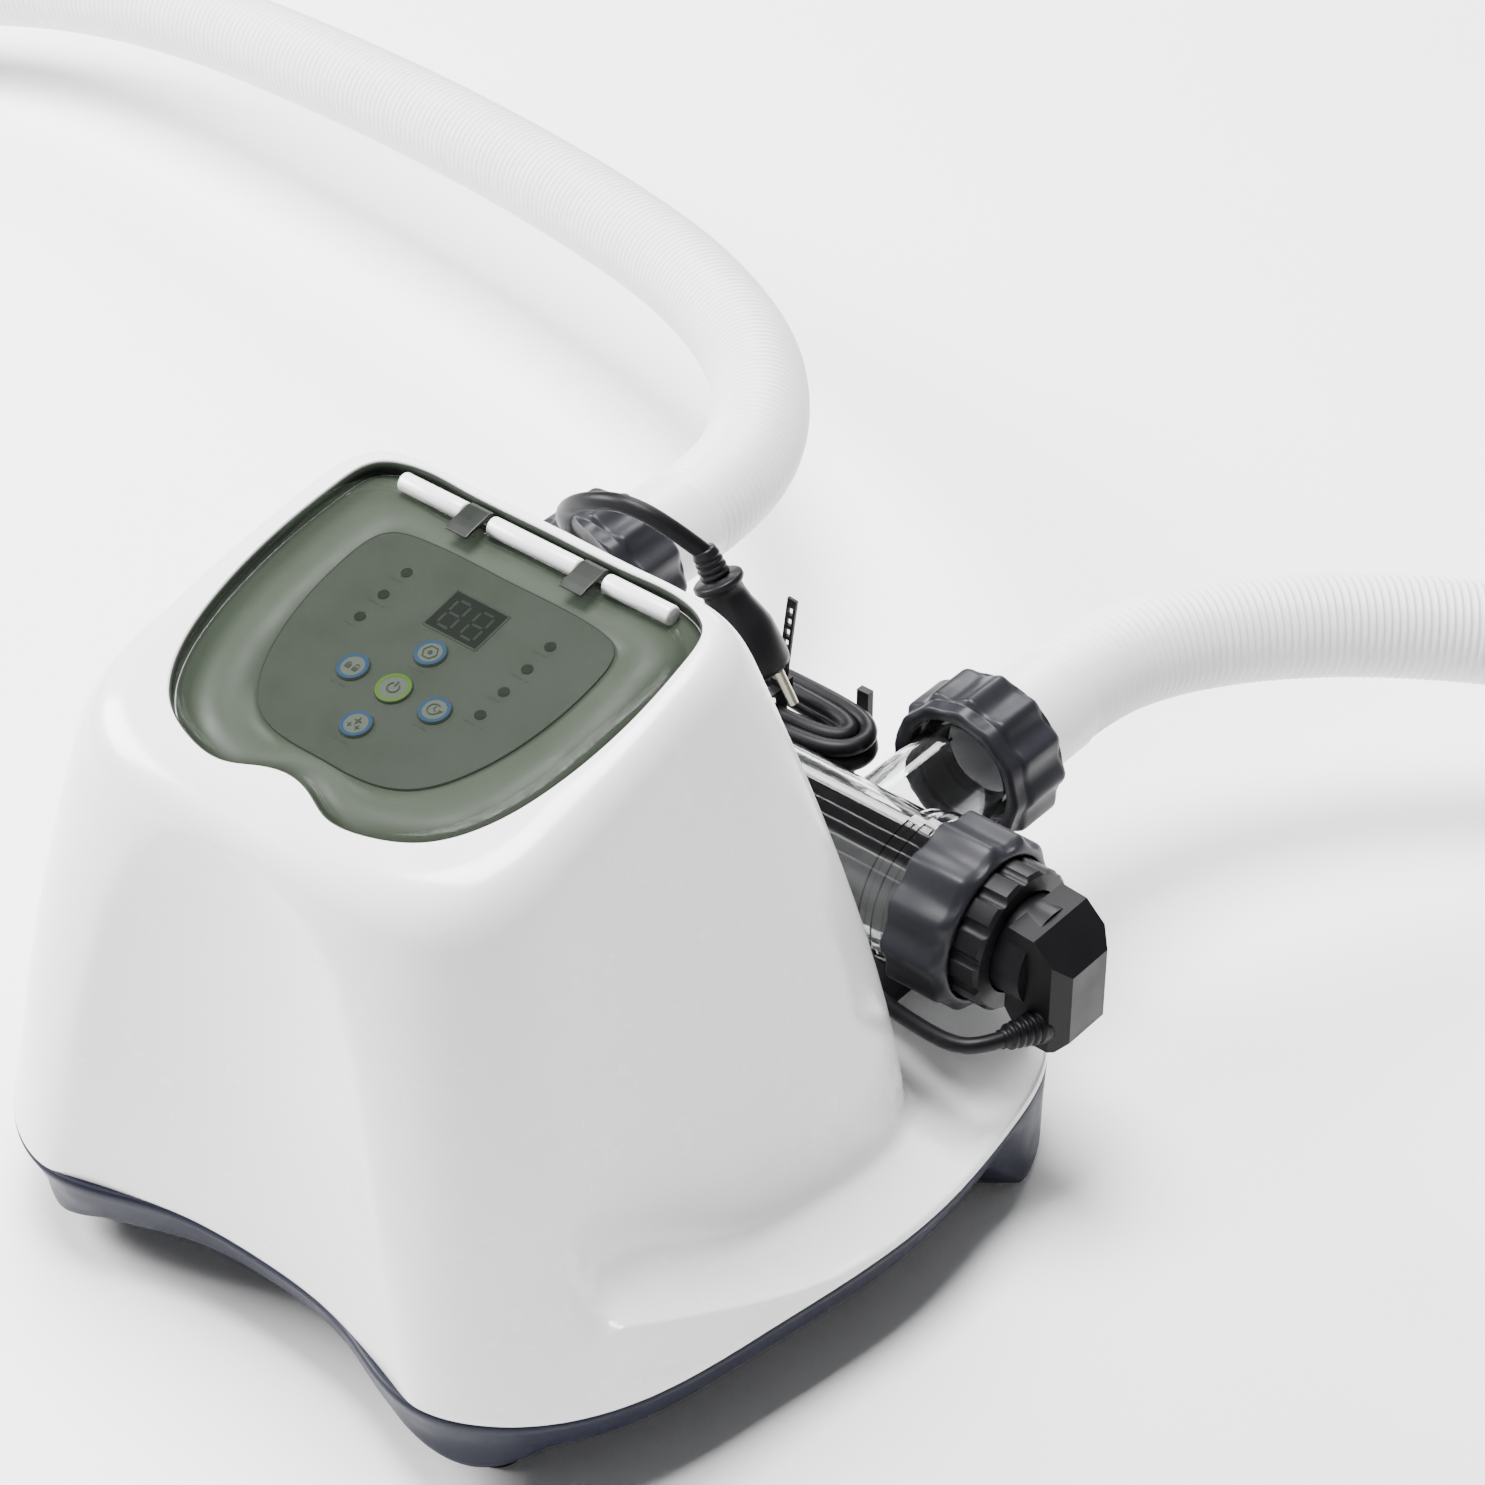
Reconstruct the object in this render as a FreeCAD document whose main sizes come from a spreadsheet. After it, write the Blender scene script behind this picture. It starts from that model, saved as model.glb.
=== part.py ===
import FreeCAD, Part
import math
import os

import Sketcher
from FreeCAD import Placement, Rotation, Vector

# Salt chlorine generator: a white control housing on a navy base, with a clear
# electrolytic cell lying across the deck behind it and two pool hoses on its ports.
# Origin: middle of the footprint, on the floor.  +X right, +Y back, +Z up, millimetres.

os.makedirs("parts", exist_ok=True)
doc = FreeCAD.newDocument("salt_chlorine_generator")

# ---------------------------------------------------------------- driving dimensions
DIMENSIONS = {
    # base and shell
    "rim_height": 46.0, "tray_floor": 26.0, "tray_wall": 3.0, "skirt_inset": 10.0,
    "leg_bottom": 4.0, "leg_inset": 18.0, "deck_thickness": 4.0,
    "section_low": 50.0, "section_high": 290.0, "shell_wall": 3.0, "shoulder_radius": 15.0,
    "foot_x_front": 103.0, "foot_y_front": -152.0, "foot_x_back": 150.0, "foot_y_back": 96.0,
    "foot_radius": 11.0, "boss_radius": 6.0, "screw_radius": 1.75, "screw_head_radius": 3.6,
    # control panel, measured in its own tilted frame (along, up the slope, above it)
    "panel_tilt": 12.7, "panel_y": -79.5, "panel_z": 260.0,
    "roof_rise": 7.5, "roof_under": -3.2, "overlay_thickness": 1.2,
    "button_pitch": 20.0, "cap_radius": 6.3, "power_radius": 7.0, "button_travel": 0.8,
    "cap_proud": 1.0, "button_gap": 0.2,
    "led_column": 35.2, "led_pitch": 12.8, "led_top": 45.8, "led_radius": 2.3,
    "display_half": 12.8, "display_low": 29.9, "display_high": 49.2,
    "board_top": -7.6, "board_thickness": 1.6, "board_half_x": 52.0,
    "board_low": -34.0, "board_high": 58.0,
    # lid
    "lid_top": 7.2, "lid_roof": 2.0, "lid_rim_low": 1.4, "lid_rim_wall": 1.8, "lid_gap": 0.8,
    "lid_back": 74.5,
    "hinge_v": 79.0, "hinge_rise": 4.0, "barrel_radius": 3.0, "barrel_spot": 28.0,
    "barrel_half": 5.8, "rail_radius": 3.8, "rail_end": 66.0,
    "pin_radius": 1.25, "pin_half": 56.0,
    # electrolytic cell
    "cell_y": 94.0, "cell_z": 114.0, "cell_radius": 28.2, "cell_wall": 3.0,
    "cell_left": -160.0, "cell_thread_start": 104.0, "cell_thread_end": 131.0,
    "cell_thread_radius": 32.9,
    "port_right": 75.0, "port_left": -125.0, "port_radius": 22.0, "port_wall": 3.0,
    "port_thread_radius": 25.5, "port_thread_start": 161.0, "port_end": 177.0,
    "cell_nut_radius": 37.3, "cell_nut_start": 115.5, "cell_nut_width": 29.0,
    "cap_flange_radius": 32.5, "cap_neck_radius": 24.0, "cap_neck_end": 150.0,
    "ring_radius": 29.8, "ring_start": 139.0, "ring_end": 157.0,
    "port_nut_radius": 34.5, "port_nut_start": 158.0, "port_nut_width": 31.0,
    # hoses and cords
    "hose_radius": 22.5, "hose_bore": 18.0, "cuff_bore": 19.0, "cuff_radius": 23.4,
    "cuff_end": 222.0, "cuff_gap": 0.8,
    "cuff_length": 50.0, "mains_radius": 3.75, "lead_radius": 3.3, "sensor_lead_radius": 2.2,
    "gland_face": 57.0, "gland_length": 9.0,
    "mains_gland_x": -70.0, "lead_gland_x": 40.0, "sensor_gland_x": -25.0, "gland_z": 70.0,
}
sheet = doc.addObject("Spreadsheet::Sheet", "Dims")
for row, (alias, value) in enumerate(DIMENSIONS.items(), start=1):
    sheet.set(f"A{row}", alias)
    sheet.set(f"B{row}", str(value))
    sheet.setAlias(f"B{row}", alias)
doc.recompute()


def dim(alias):
    return float(sheet.get(alias))


def cell(alias):
    return "Dims." + alias


sub_parts = []


def sub_part(label, obj):
    """Register a finished document object as one named piece."""
    obj.Label = label
    sub_parts.append(obj)
    return obj


def feature(label, shape, place=None):
    obj = doc.addObject("Part::Feature", label)
    obj.Shape = shape
    if place is not None:
        obj.Placement = place
    return sub_part(label, obj)


# ---------------------------------------------------------------- building blocks
ALONG_X = Rotation(Vector(0, 1, 0), 90)
ALONG_Y = Rotation(Vector(1, 0, 0), -90)


def pointing(direction):
    return Rotation(Vector(0, 0, 1), Vector(*direction))


def primitive(kind, name, place, **sizes):
    """A Part primitive whose sizes are expressions on the sheet."""
    obj = doc.addObject("Part::" + kind, name)
    obj.Placement = place
    for size, expression in sizes.items():
        obj.setExpression(size, expression)
    return obj


def fused(name, pieces):
    obj = doc.addObject("Part::MultiFuse", name)
    obj.Shapes = pieces
    return obj


def subtracted(name, base, tool):
    obj = doc.addObject("Part::Cut", name)
    obj.Base = base
    obj.Tool = tool
    return obj


def grouped(name, pieces):
    """Separate solids that share one node."""
    obj = doc.addObject("Part::Compound", name)
    obj.Links = pieces
    return obj


def origin_plane(body, role):
    return next(item for item in body.Origin.OriginFeatures if item.Role == role)


def evaluated(expression):
    """The number that a sheet expression gives now, to draw a sketch near its solution."""
    sheet.set("D1", "=" + str(expression).replace("Dims.", ""))
    sheet.recompute()
    return float(sheet.get("D1"))


def sketch_on(body, role, name):
    sketch = body.newObject("Sketcher::SketchObject", name)
    sketch.AttachmentSupport = [(origin_plane(body, role), "")]
    sketch.MapMode = "FlatFace"
    return sketch


def hold(sketch, kind, value, *where):
    index = sketch.addConstraint(Sketcher.Constraint(kind, *where, evaluated(value)))
    sketch.setExpression(f"Constraints[{index}]", str(value))


def add_polygon(sketch, corners):
    """A closed polygon whose every corner is held by two expressions."""
    first = sketch.GeometryCount
    spots = [Vector(evaluated(a), evaluated(b), 0) for a, b in corners]
    count = len(spots)
    for i in range(count):
        sketch.addGeometry(Part.LineSegment(spots[i], spots[(i + 1) % count]), False)
    for i in range(count):
        following = first + (i + 1) % count
        sketch.addConstraint(Sketcher.Constraint("Coincident", first + i, 2, following, 1))
    for i, (a, b) in enumerate(corners):
        hold(sketch, "DistanceX", a, -1, 1, first + i, 1)
        hold(sketch, "DistanceY", b, -1, 1, first + i, 1)


def add_circle(sketch, a, b, radius):
    index = sketch.GeometryCount
    centre = Vector(evaluated(a), evaluated(b), 0)
    sketch.addGeometry(Part.Circle(centre, Vector(0, 0, 1), evaluated(radius)), False)
    hold(sketch, "Radius", radius, index)
    hold(sketch, "DistanceX", a, -1, 1, index, 3)
    hold(sketch, "DistanceY", b, -1, 1, index, 3)


def turned(name, profile, place):
    """A body of revolution about its own Z, from (radius, height) corners."""
    body = doc.addObject("PartDesign::Body", name)
    sketch = sketch_on(body, "XZ_Plane", name + "_profile")
    add_polygon(sketch, profile)
    doc.recompute()
    spin = body.newObject("PartDesign::Revolution", name + "_turn")
    spin.Profile = sketch
    spin.ReferenceAxis = (sketch, ["V_Axis"])
    spin.Angle = 360
    doc.recompute()
    body.Placement = place
    return body


def scalloped(body, name, count, reach, radius):
    """Cut count grip hollows all round a turned body, as a real polar pattern."""
    before = body.Shape.Volume
    sketch = sketch_on(body, "XY_Plane", name + "_hollow")
    add_circle(sketch, reach, "0", radius)
    doc.recompute()
    pocket = body.newObject("PartDesign::Pocket", name + "_pocket")
    pocket.Profile = sketch
    pocket.Type = "ThroughAll"
    pocket.Reversed = True
    doc.recompute()
    pattern = body.newObject("PartDesign::PolarPattern", name + "_pattern")
    pattern.Originals = [pocket]
    pattern.Axis = (sketch, ["N_Axis"])
    pattern.Angle = 360
    pattern.Occurrences = count
    body.Tip = pattern
    doc.recompute()
    assert body.Shape.Volume < before - 1.0, name + ": the hollows cut nothing"
    return body


def padded(name, role, outlines, length, place):
    """A body padded from polygons and circles in one sketch."""
    body = doc.addObject("PartDesign::Body", name)
    sketch = sketch_on(body, role, name + "_outline")
    for outline in outlines:
        if isinstance(outline, tuple):
            add_circle(sketch, *outline)
        else:
            add_polygon(sketch, outline)
    doc.recompute()
    pad = body.newObject("PartDesign::Pad", name + "_pad")
    pad.Profile = sketch
    pad.setExpression("Length", length)
    doc.recompute()
    body.Placement = place
    return body


def box_corners(x0, x1, y0, y1):
    return [(x0, y0), (x1, y0), (x1, y1), (x0, y1)]


# ---------------------------------------------------------------- free-form outlines
def mirrored(half):
    """Close a half outline, listed from front centre to back centre, about X = 0."""
    return half + [(-x, y) for x, y in reversed(half[1:-1])]


def inset(points, distance):
    """Move each point of a closed outline inwards along its own normal."""
    count = len(points)
    moved = []
    for i in range(count):
        ahead = points[(i + 1) % count]
        behind = points[i - 1]
        along_x = ahead[0] - behind[0]
        along_y = ahead[1] - behind[1]
        size = math.hypot(along_x, along_y)
        moved.append((points[i][0] - distance * along_y / size,
                      points[i][1] + distance * along_x / size))
    return moved


def curve_wire(points, height):
    spline = Part.BSplineCurve()
    spline.interpolate([Vector(x, y, height) for x, y in points], PeriodicFlag=True)
    return Part.Wire([spline.toShape()])


def prism(points, low, high):
    face = Part.Face(curve_wire(points, low))
    return face.extrude(Vector(0, 0, high - low))


def loft(wires):
    return Part.makeLoft(wires, True, False)


def block(x0, x1, y0, y1, z0, z1):
    return Part.makeBox(x1 - x0, y1 - y0, z1 - z0, Vector(x0, y0, z0))


def rod(radius, start, end):
    start = Vector(*start)
    axis = Vector(*end) - start
    return Part.makeCylinder(radius, axis.Length, start, axis)


RIM = mirrored([(0, -171), (50, -176), (97, -188), (128, -175), (155, -141),
                (172, -75), (182, 5), (176, 65), (158, 113), (118, 133), (0, 135)])
HOUSING_LOW = mirrored([(0, -184), (50, -186), (94, -188), (121, -178), (133, -155), (131, -121),
                        (134, -72), (142, -23), (146, 20), (138, 47), (110, 58), (0, 59)])
HOUSING_HIGH = mirrored([(0, -157), (28, -156), (55, -150), (80, -138), (95, -116), (99, -90),
                         (99, -60), (97, -30), (94, -2), (86, 9), (68, 13), (0, 14)])
LID = mirrored([(0, -52.5), (12, -55), (24, -60), (44, -58.5), (63, -49), (75, -33), (83, -8),
                (86.5, 30), (84.5, 62), (74, 74), (50, 75), (0, 75)])
GRAPHIC = mirrored([(0, -38.5), (18, -38.3), (36, -33), (51, -14), (59, 14), (60.5, 40),
                    (56, 57), (40, 62), (0, 62.5)])


def housing_points(height):
    """The housing's plan at a height: walls lean in faster as they rise."""
    low, high = dim("section_low"), dim("section_high")
    share = max(height - low, 0.0) / (high - low)
    lean = share ** 1.4
    return [(a[0] + (b[0] - a[0]) * lean, a[1] + (b[1] - a[1]) * lean)
            for a, b in zip(HOUSING_LOW, HOUSING_HIGH)]


def under_roof(rise):
    """Everything below the sloping roof plane that lies this far above the panel plane."""
    half, depth = 200.0, 400.0
    slab = Part.makeBox(2 * half, depth, depth, Vector(-half, -depth / 2, -depth + rise))
    slab.Placement = panel_place
    return slab


panel_place = Placement(Vector(0, dim("panel_y"), dim("panel_z")),
                        Rotation(Vector(1, 0, 0), dim("panel_tilt")))


def on_panel(u=0.0, v=0.0, rise=0.0):
    """Placement of a piece that stands on the tilted panel."""
    return panel_place.multiply(Placement(Vector(u, v, rise), Rotation()))


# ---------------------------------------------------------------- shell and base
def facet_cutter(set_back):
    """The hollowed front facet: arched at the top, as wide as the base at the bottom."""
    wires = []
    for height, half, edge, middle in ((40, 100, -190.5, -171.5), (90, 86, -186, -167.5),
                                       (128, 77, -181.5, -165), (180, 64, -173.5, -162.5),
                                       (214, 50, -168, -161.5), (232, 33, -166, -162.2),
                                       (242, 10, -165.5, -164.3)):
        left = Vector(-half, edge + set_back, height)
        right = Vector(half, edge + set_back, height)
        deepest = Vector(0, middle + set_back, height)
        far_left = Vector(-half, -240, height)
        far_right = Vector(half, -240, height)
        wires.append(Part.Wire([Part.Arc(left, deepest, right).toShape(),
                                Part.makeLine(right, far_right),
                                Part.makeLine(far_right, far_left),
                                Part.makeLine(far_left, left)]))
    return loft(wires)


GLANDS = (("mains_gland_x", "mains_radius"), ("lead_gland_x", "lead_radius"),
          ("sensor_gland_x", "sensor_lead_radius"))
SCREW_SPOTS = ((100, -158), (-100, -158), (160, -40), (-160, -40), (140, 100), (-140, 100))
SUPPLY_SEATS = ((-76, -40), (76, -40), (-76, 14), (76, 14))
LEG_SPOTS = ((1, 66, 160, -200, -118), (-1, 66, 160, -200, -118),
             (1, 118, 200, 66, 150), (-1, 118, 200, 66, 150))


DECK_RAMP = ((-200, 90), (-160, 88.5), (-145, 86), (-131, 82.5), (-107, 74), (-80, 63),
             (-62, 56.5), (-42, 51.5), (-22, 50), (200, 50))


def under_deck(drop):
    """Everything below the deck's top, which climbs to the front corners, less a drop."""
    profile = [Vector(-260, y, z - drop) for y, z in DECK_RAMP]
    profile = [Vector(-260, -200, 30)] + profile + [Vector(-260, 200, 30)]
    return Part.Face(Part.makePolygon(profile + profile[:1])).extrude(Vector(520, 0, 0))


def upper_shell():
    rim = dim("rim_height")
    wall = dim("shell_wall")
    low, high = dim("section_low"), dim("section_high")
    quarter = (high - rim) / 4
    housing = loft([curve_wire(housing_points(rim + quarter * i), rim + quarter * i) for i in range(5)])
    flare = loft([curve_wire(inset(housing_points(low), -spread), rim + 7.0 * i)
                  for i, spread in enumerate((9.0, 4.2, 1.2, -0.8))])
    housing = housing.common(under_roof(dim("roof_rise")))
    slope = Vector(0, -math.sin(math.radians(dim("panel_tilt"))),
                   math.cos(math.radians(dim("panel_tilt"))))
    roof = max((face for face in housing.Faces if face.normalAt(0, 0).dot(slope) > 0.999),
               key=lambda face: face.Area)
    housing = housing.makeFillet(dim("shoulder_radius"), roof.Edges).fuse(flare)

    hollow = loft([curve_wire(inset(housing_points(rim + quarter * i), wall), rim + quarter * i)
                   for i in range(5)])
    hollow = hollow.fuse(prism(inset(housing_points(rim), wall), rim - 6, rim + 1))
    hollow = hollow.common(under_roof(dim("roof_under"))).cut(facet_cutter(wall + 0.4))

    deck = loft([curve_wire(RIM, rim), curve_wire(inset(RIM, 3), rim + 50)]).common(under_deck(0))
    deck_hollow = loft([curve_wire(inset(RIM, wall), rim - 1), curve_wire(inset(RIM, 3 + wall), rim + 50)])
    deck_hollow = deck_hollow.common(under_deck(dim("deck_thickness"))).cut(facet_cutter(wall + 0.4))
    for x, y in SCREW_SPOTS:
        deck_hollow = deck_hollow.cut(rod(dim("boss_radius"), (x, y, rim - 2), (x, y, 100)))
    hollow = hollow.fuse(deck_hollow)
    shell = housing.common(prism(RIM, rim, 320)).fuse(deck)
    shell = shell.cut(facet_cutter(0)).cut(hollow)

    recess = prism(inset(LID, -dim("lid_gap")), 0, 40)
    hinge_bay = block(-78, 78, 68, 84.5, 0, 40)
    opening = prism(inset(GRAPHIC, 7), -12, 1)
    finger_dip = Part.makeSphere(30, Vector(0, -62, 31))
    for cutter in (recess, hinge_bay, opening, finger_dip):
        cutter.Placement = panel_place.multiply(cutter.Placement)
        shell = shell.cut(cutter)
    inner, outer = dim("barrel_spot") - dim("barrel_half"), dim("barrel_spot") + dim("barrel_half")
    end, v, rise = dim("rail_end"), dim("hinge_v"), dim("hinge_rise")
    for start, stop in ((-end, -outer - 0.8), (-inner + 0.8, inner - 0.8), (outer + 0.8, end)):
        rail = rod(dim("rail_radius"), (start, v, rise), (stop, v, rise))
        rail = rail.fuse(block(start, stop, v - 2, v + 6, -0.5, rise))
        rail.Placement = panel_place
        shell = shell.fuse(rail)
    pin = rod(dim("pin_radius"), (-dim("pin_half"), dim("hinge_v"), dim("hinge_rise")),
              (dim("pin_half"), dim("hinge_v"), dim("hinge_rise")))
    pin.Placement = panel_place.multiply(pin.Placement)
    shell = shell.cut(pin)

    for where, _ in GLANDS:
        x, z = dim(where), dim("gland_z")
        shell = shell.cut(rod(6.6, (x, 40, z), (x, 80, z)))
        shell = shell.cut(rod(9.3, (x, dim("gland_face"), z), (x, 80, z)))
    for x, y in SCREW_SPOTS:
        shell = shell.cut(rod(dim("screw_radius"), (x, y, rim - 1), (x, y, rim + 2.8)))
    return shell


def base_tray():
    rim, floor = dim("rim_height"), dim("tray_floor")
    wall, lean = dim("tray_wall"), dim("skirt_inset")
    skirt = loft([curve_wire(RIM, rim), curve_wire(inset(RIM, lean), floor)])
    inside = loft([curve_wire(inset(RIM, wall), rim),
                   curve_wire(inset(RIM, lean + wall), floor + wall)])
    leg_block = loft([curve_wire(inset(RIM, lean + 0.6), floor + 2),
                      curve_wire(inset(RIM, dim("leg_inset")), dim("leg_bottom"))])
    tray = skirt.cut(inside)
    for side, x0, x1, y0, y1 in LEG_SPOTS:
        near, far = sorted((side * x0, side * x1))
        corner = block(near, far, y0, y1, 0, floor + 2)
        upright = [edge for edge in corner.Edges
                   if abs(edge.Vertexes[0].Z - edge.Vertexes[1].Z) > 5]
        corner = corner.makeFillet(16, upright)
        tray = tray.fuse(leg_block.common(corner))
    centre_cut = prism(inset(RIM, 44), -1, floor)
    tray = tray.cut(centre_cut)
    for x, y in SCREW_SPOTS:
        tray = tray.fuse(rod(dim("boss_radius"), (x, y, floor + 1), (x, y, rim)).common(skirt))
        tray = tray.cut(rod(dim("screw_radius") + 0.3, (x, y, 0), (x, y, rim + 1)))
        tray = tray.cut(rod(dim("screw_head_radius") + 0.4, (x, y, 0), (x, y, floor)))
    for x, y in SUPPLY_SEATS:
        tray = tray.fuse(rod(4, (x, y, floor + 1), (x, y, floor + wall + 4)))
    return tray.removeSplitter()


feature("upper_shell", upper_shell())
feature("base_tray", base_tray())

feet = []
for number, (x, y) in enumerate((("foot_x_front", "foot_y_front"), ("foot_x_back", "foot_y_back"))):
    for side in (-1, 1):
        name = f"foot_{number}_{side + 1}"
        spot = Placement(Vector(side * dim(x), dim(y), 0), Rotation())
        feet.append(primitive("Cylinder", name, spot, Radius=cell("foot_radius"),
                              Height=cell("leg_bottom")))
sub_part("foot_pads", grouped("foot_pads_group", feet))

screws = []
for number, (x, y) in enumerate(SCREW_SPOTS):
    low = dim("tray_floor")
    head = primitive("Cylinder", f"screw_head_{number}", Placement(Vector(x, y, low - 2.4), Rotation()),
                     Radius=cell("screw_head_radius"), Height="2.4")
    shank = primitive("Cylinder", f"screw_shank_{number}", Placement(Vector(x, y, low), Rotation()),
                      Radius=cell("screw_radius") + " - 0.05",
                      Height=cell("rim_height") + " + 2.5 - " + cell("tray_floor"))
    screws.append(fused(f"housing_screw_{number}", [head, shank]))
sub_part("housing_screws", grouped("housing_screw_group", screws))

# ---------------------------------------------------------------- control panel and lid
BUTTONS = (("boost_button", 0, 1), ("lock_button", -1, 0), ("power_button", 0, 0),
           ("timer_button", 1, 0), ("clean_button", 0, -1))
LEDS = [(-1, row) for row in range(3)] + [(1, row) for row in range(4)]


def cap_radius(name):
    return dim("power_radius") if name == "power_button" else dim("cap_radius")


def led_spot(side, row):
    return side * dim("led_column"), dim("led_top") - row * dim("led_pitch")


def panel_overlay():
    plate = prism(GRAPHIC, 0, dim("overlay_thickness"))
    for name, across, up in BUTTONS:
        u, v = across * dim("button_pitch"), up * dim("button_pitch")
        plate = plate.cut(rod(cap_radius(name) + dim("button_gap"), (u, v, -1), (u, v, 5)))
    for side, row in LEDS:
        u, v = led_spot(side, row)
        plate = plate.cut(rod(dim("led_radius"), (u, v, -1), (u, v, 5)))
    half = dim("display_half")
    return plate.cut(block(-half, half, dim("display_low"), dim("display_high"), -1, 5))


def panel_lid():
    outer = prism(LID, dim("lid_rim_low"), dim("lid_top"))
    hollow = prism(inset(LID, dim("lid_rim_wall")), 0, dim("lid_top") - dim("lid_roof"))
    back = block(-60, 60, 66, 80, 0, dim("lid_top") - dim("lid_roof"))
    half, hinge = dim("barrel_half"), (dim("hinge_v"), dim("hinge_rise"))
    lid = outer.cut([hollow, back, block(-100, 100, dim("lid_back"), 90, -1, 20)])
    for side in (-1, 1):
        start, stop = side * dim("barrel_spot") - half, side * dim("barrel_spot") + half
        tab = block(start, stop, 70, hinge[0], dim("lid_top") - dim("lid_roof"), dim("lid_top") - 0.4)
        lid = lid.fuse([tab, rod(dim("barrel_radius"), (start, *hinge), (stop, *hinge))])
        lid = lid.cut(rod(dim("pin_radius") + 0.05, (start - 1, *hinge), (stop + 1, *hinge)))
    return lid.removeSplitter()


def hinge_clips():
    """Two saddle clips that snap over the lid's hinge barrel."""
    clips = []
    for side in (-1, 1):
        centre = side * dim("barrel_spot")
        saddle = rod(dim("barrel_radius") + 0.7, (centre - 5, dim("hinge_v"), dim("hinge_rise")),
                     (centre + 5, dim("hinge_v"), dim("hinge_rise")))
        inner = rod(dim("barrel_radius"), (centre - 6, dim("hinge_v"), dim("hinge_rise")),
                    (centre + 6, dim("hinge_v"), dim("hinge_rise")))
        upper = block(centre - 5, centre + 5, 70, 90, dim("hinge_rise") + 1.6, 20)
        strap = block(centre - 5, centre + 5, 67, dim("hinge_v") - 1, dim("lid_top"),
                      dim("lid_top") + 0.5)
        clips.append(saddle.cut(inner).common(upper).fuse(strap).removeSplitter())
    return Part.makeCompound(clips)


feature("panel_overlay", panel_overlay(), panel_place)
feature("panel_lid", panel_lid(), panel_place)
clips = hinge_clips().cut(panel_lid())
feature("lid_hinge_clips", clips, panel_place)
pin_start = Placement(Vector(-dim("pin_half"), dim("hinge_v"), dim("hinge_rise")), ALONG_X)
sub_part("lid_hinge_pin", primitive("Cylinder", "hinge_pin", panel_place.multiply(pin_start),
                                    Radius=cell("pin_radius"), Height="2 * " + cell("pin_half")))

for name, across, up in BUTTONS:
    radius = cell("power_radius") if name == "power_button" else cell("cap_radius")
    proud = cell("overlay_thickness") + " + " + cell("cap_proud")
    profile = [("0", "-4.4"), ("1.6", "-4.4"), ("1.6", "-1.6"), (radius + " + 1.3", "-1.6"),
               (radius + " + 1.3", "-0.3"), (radius, "-0.3"), (radius, proud + " - 0.5"),
               (radius + " - 0.5", proud), ("0", proud)]
    spot = on_panel(across * dim("button_pitch"), up * dim("button_pitch"))
    sub_part(name, turned(name, profile, spot))

lenses = []
lamps = []
for number, (side, row) in enumerate(LEDS):
    spot = on_panel(*led_spot(side, row), 0)
    lenses.append(primitive("Cylinder", f"led_lens_{number}", spot,
                            Radius=cell("led_radius") + " - 0.05",
                            Height=cell("overlay_thickness") + " + 0.3"))
    seat = on_panel(*led_spot(side, row), dim("board_top"))
    lamps.append(primitive("Cylinder", f"led_lamp_{number}", seat, Radius="1.6",
                           Height="-0.1 - " + cell("board_top")))
sub_part("indicator_lenses", grouped("lens_group", lenses))
sub_part("indicator_leds", grouped("led_group", lamps))

display_height = cell("display_high") + " - " + cell("display_low")
window_corner = on_panel(-dim("display_half") + 0.05, dim("display_low") + 0.05, 0)
sub_part("display_window", primitive("Box", "window", window_corner,
                                     Length="2 * " + cell("display_half") + " - 0.1",
                                     Width=display_height + " - 0.1",
                                     Height=cell("overlay_thickness") + " + 0.2"))
digit_corner = on_panel(-dim("display_half"), dim("display_low"), dim("board_top"))
sub_part("display_module", primitive("Box", "digits", digit_corner,
                                     Length="2 * " + cell("display_half"), Width=display_height,
                                     Height="-0.2 - " + cell("board_top")))

switches = []
for name, across, up in BUTTONS:
    u, v = across * dim("button_pitch"), up * dim("button_pitch")
    corner = on_panel(u - 3, v - 3, dim("board_top"))
    switches.append(primitive("Box", name + "_switch", corner, Length="6", Width="6", Height="2"))
sub_part("tact_switches", grouped("switch_group", switches))

half_x, low_v, high_v = cell("board_half_x"), cell("board_low"), cell("board_high")
POST_SPOTS = [(side, edge) for side in (-1, 1) for edge in (-1, 1)]


def post_place(side, edge):
    u = side * (dim("board_half_x") - 5)
    v = dim("board_low") + 5 if edge < 0 else dim("board_high") - 5
    return u, v


board_sketch = [box_corners("-" + half_x, half_x, low_v, high_v)]
board_sketch += [(str(u), str(v), "1.6") for u, v in (post_place(*spot) for spot in POST_SPOTS)]
board_place = on_panel(0, 0, dim("board_top") - dim("board_thickness"))
sub_part("control_board", padded("control_board", "XY_Plane", board_sketch,
                                 cell("board_thickness"), board_place))
posts = []
for number, spot in enumerate(POST_SPOTS):
    seat = on_panel(*post_place(*spot), dim("board_top"))
    posts.append(primitive("Cylinder", f"board_post_{number}", seat, Radius="3",
                           Height=cell("roof_under") + " - " + cell("board_top")))
sub_part("board_posts", grouped("post_group", posts))

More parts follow.
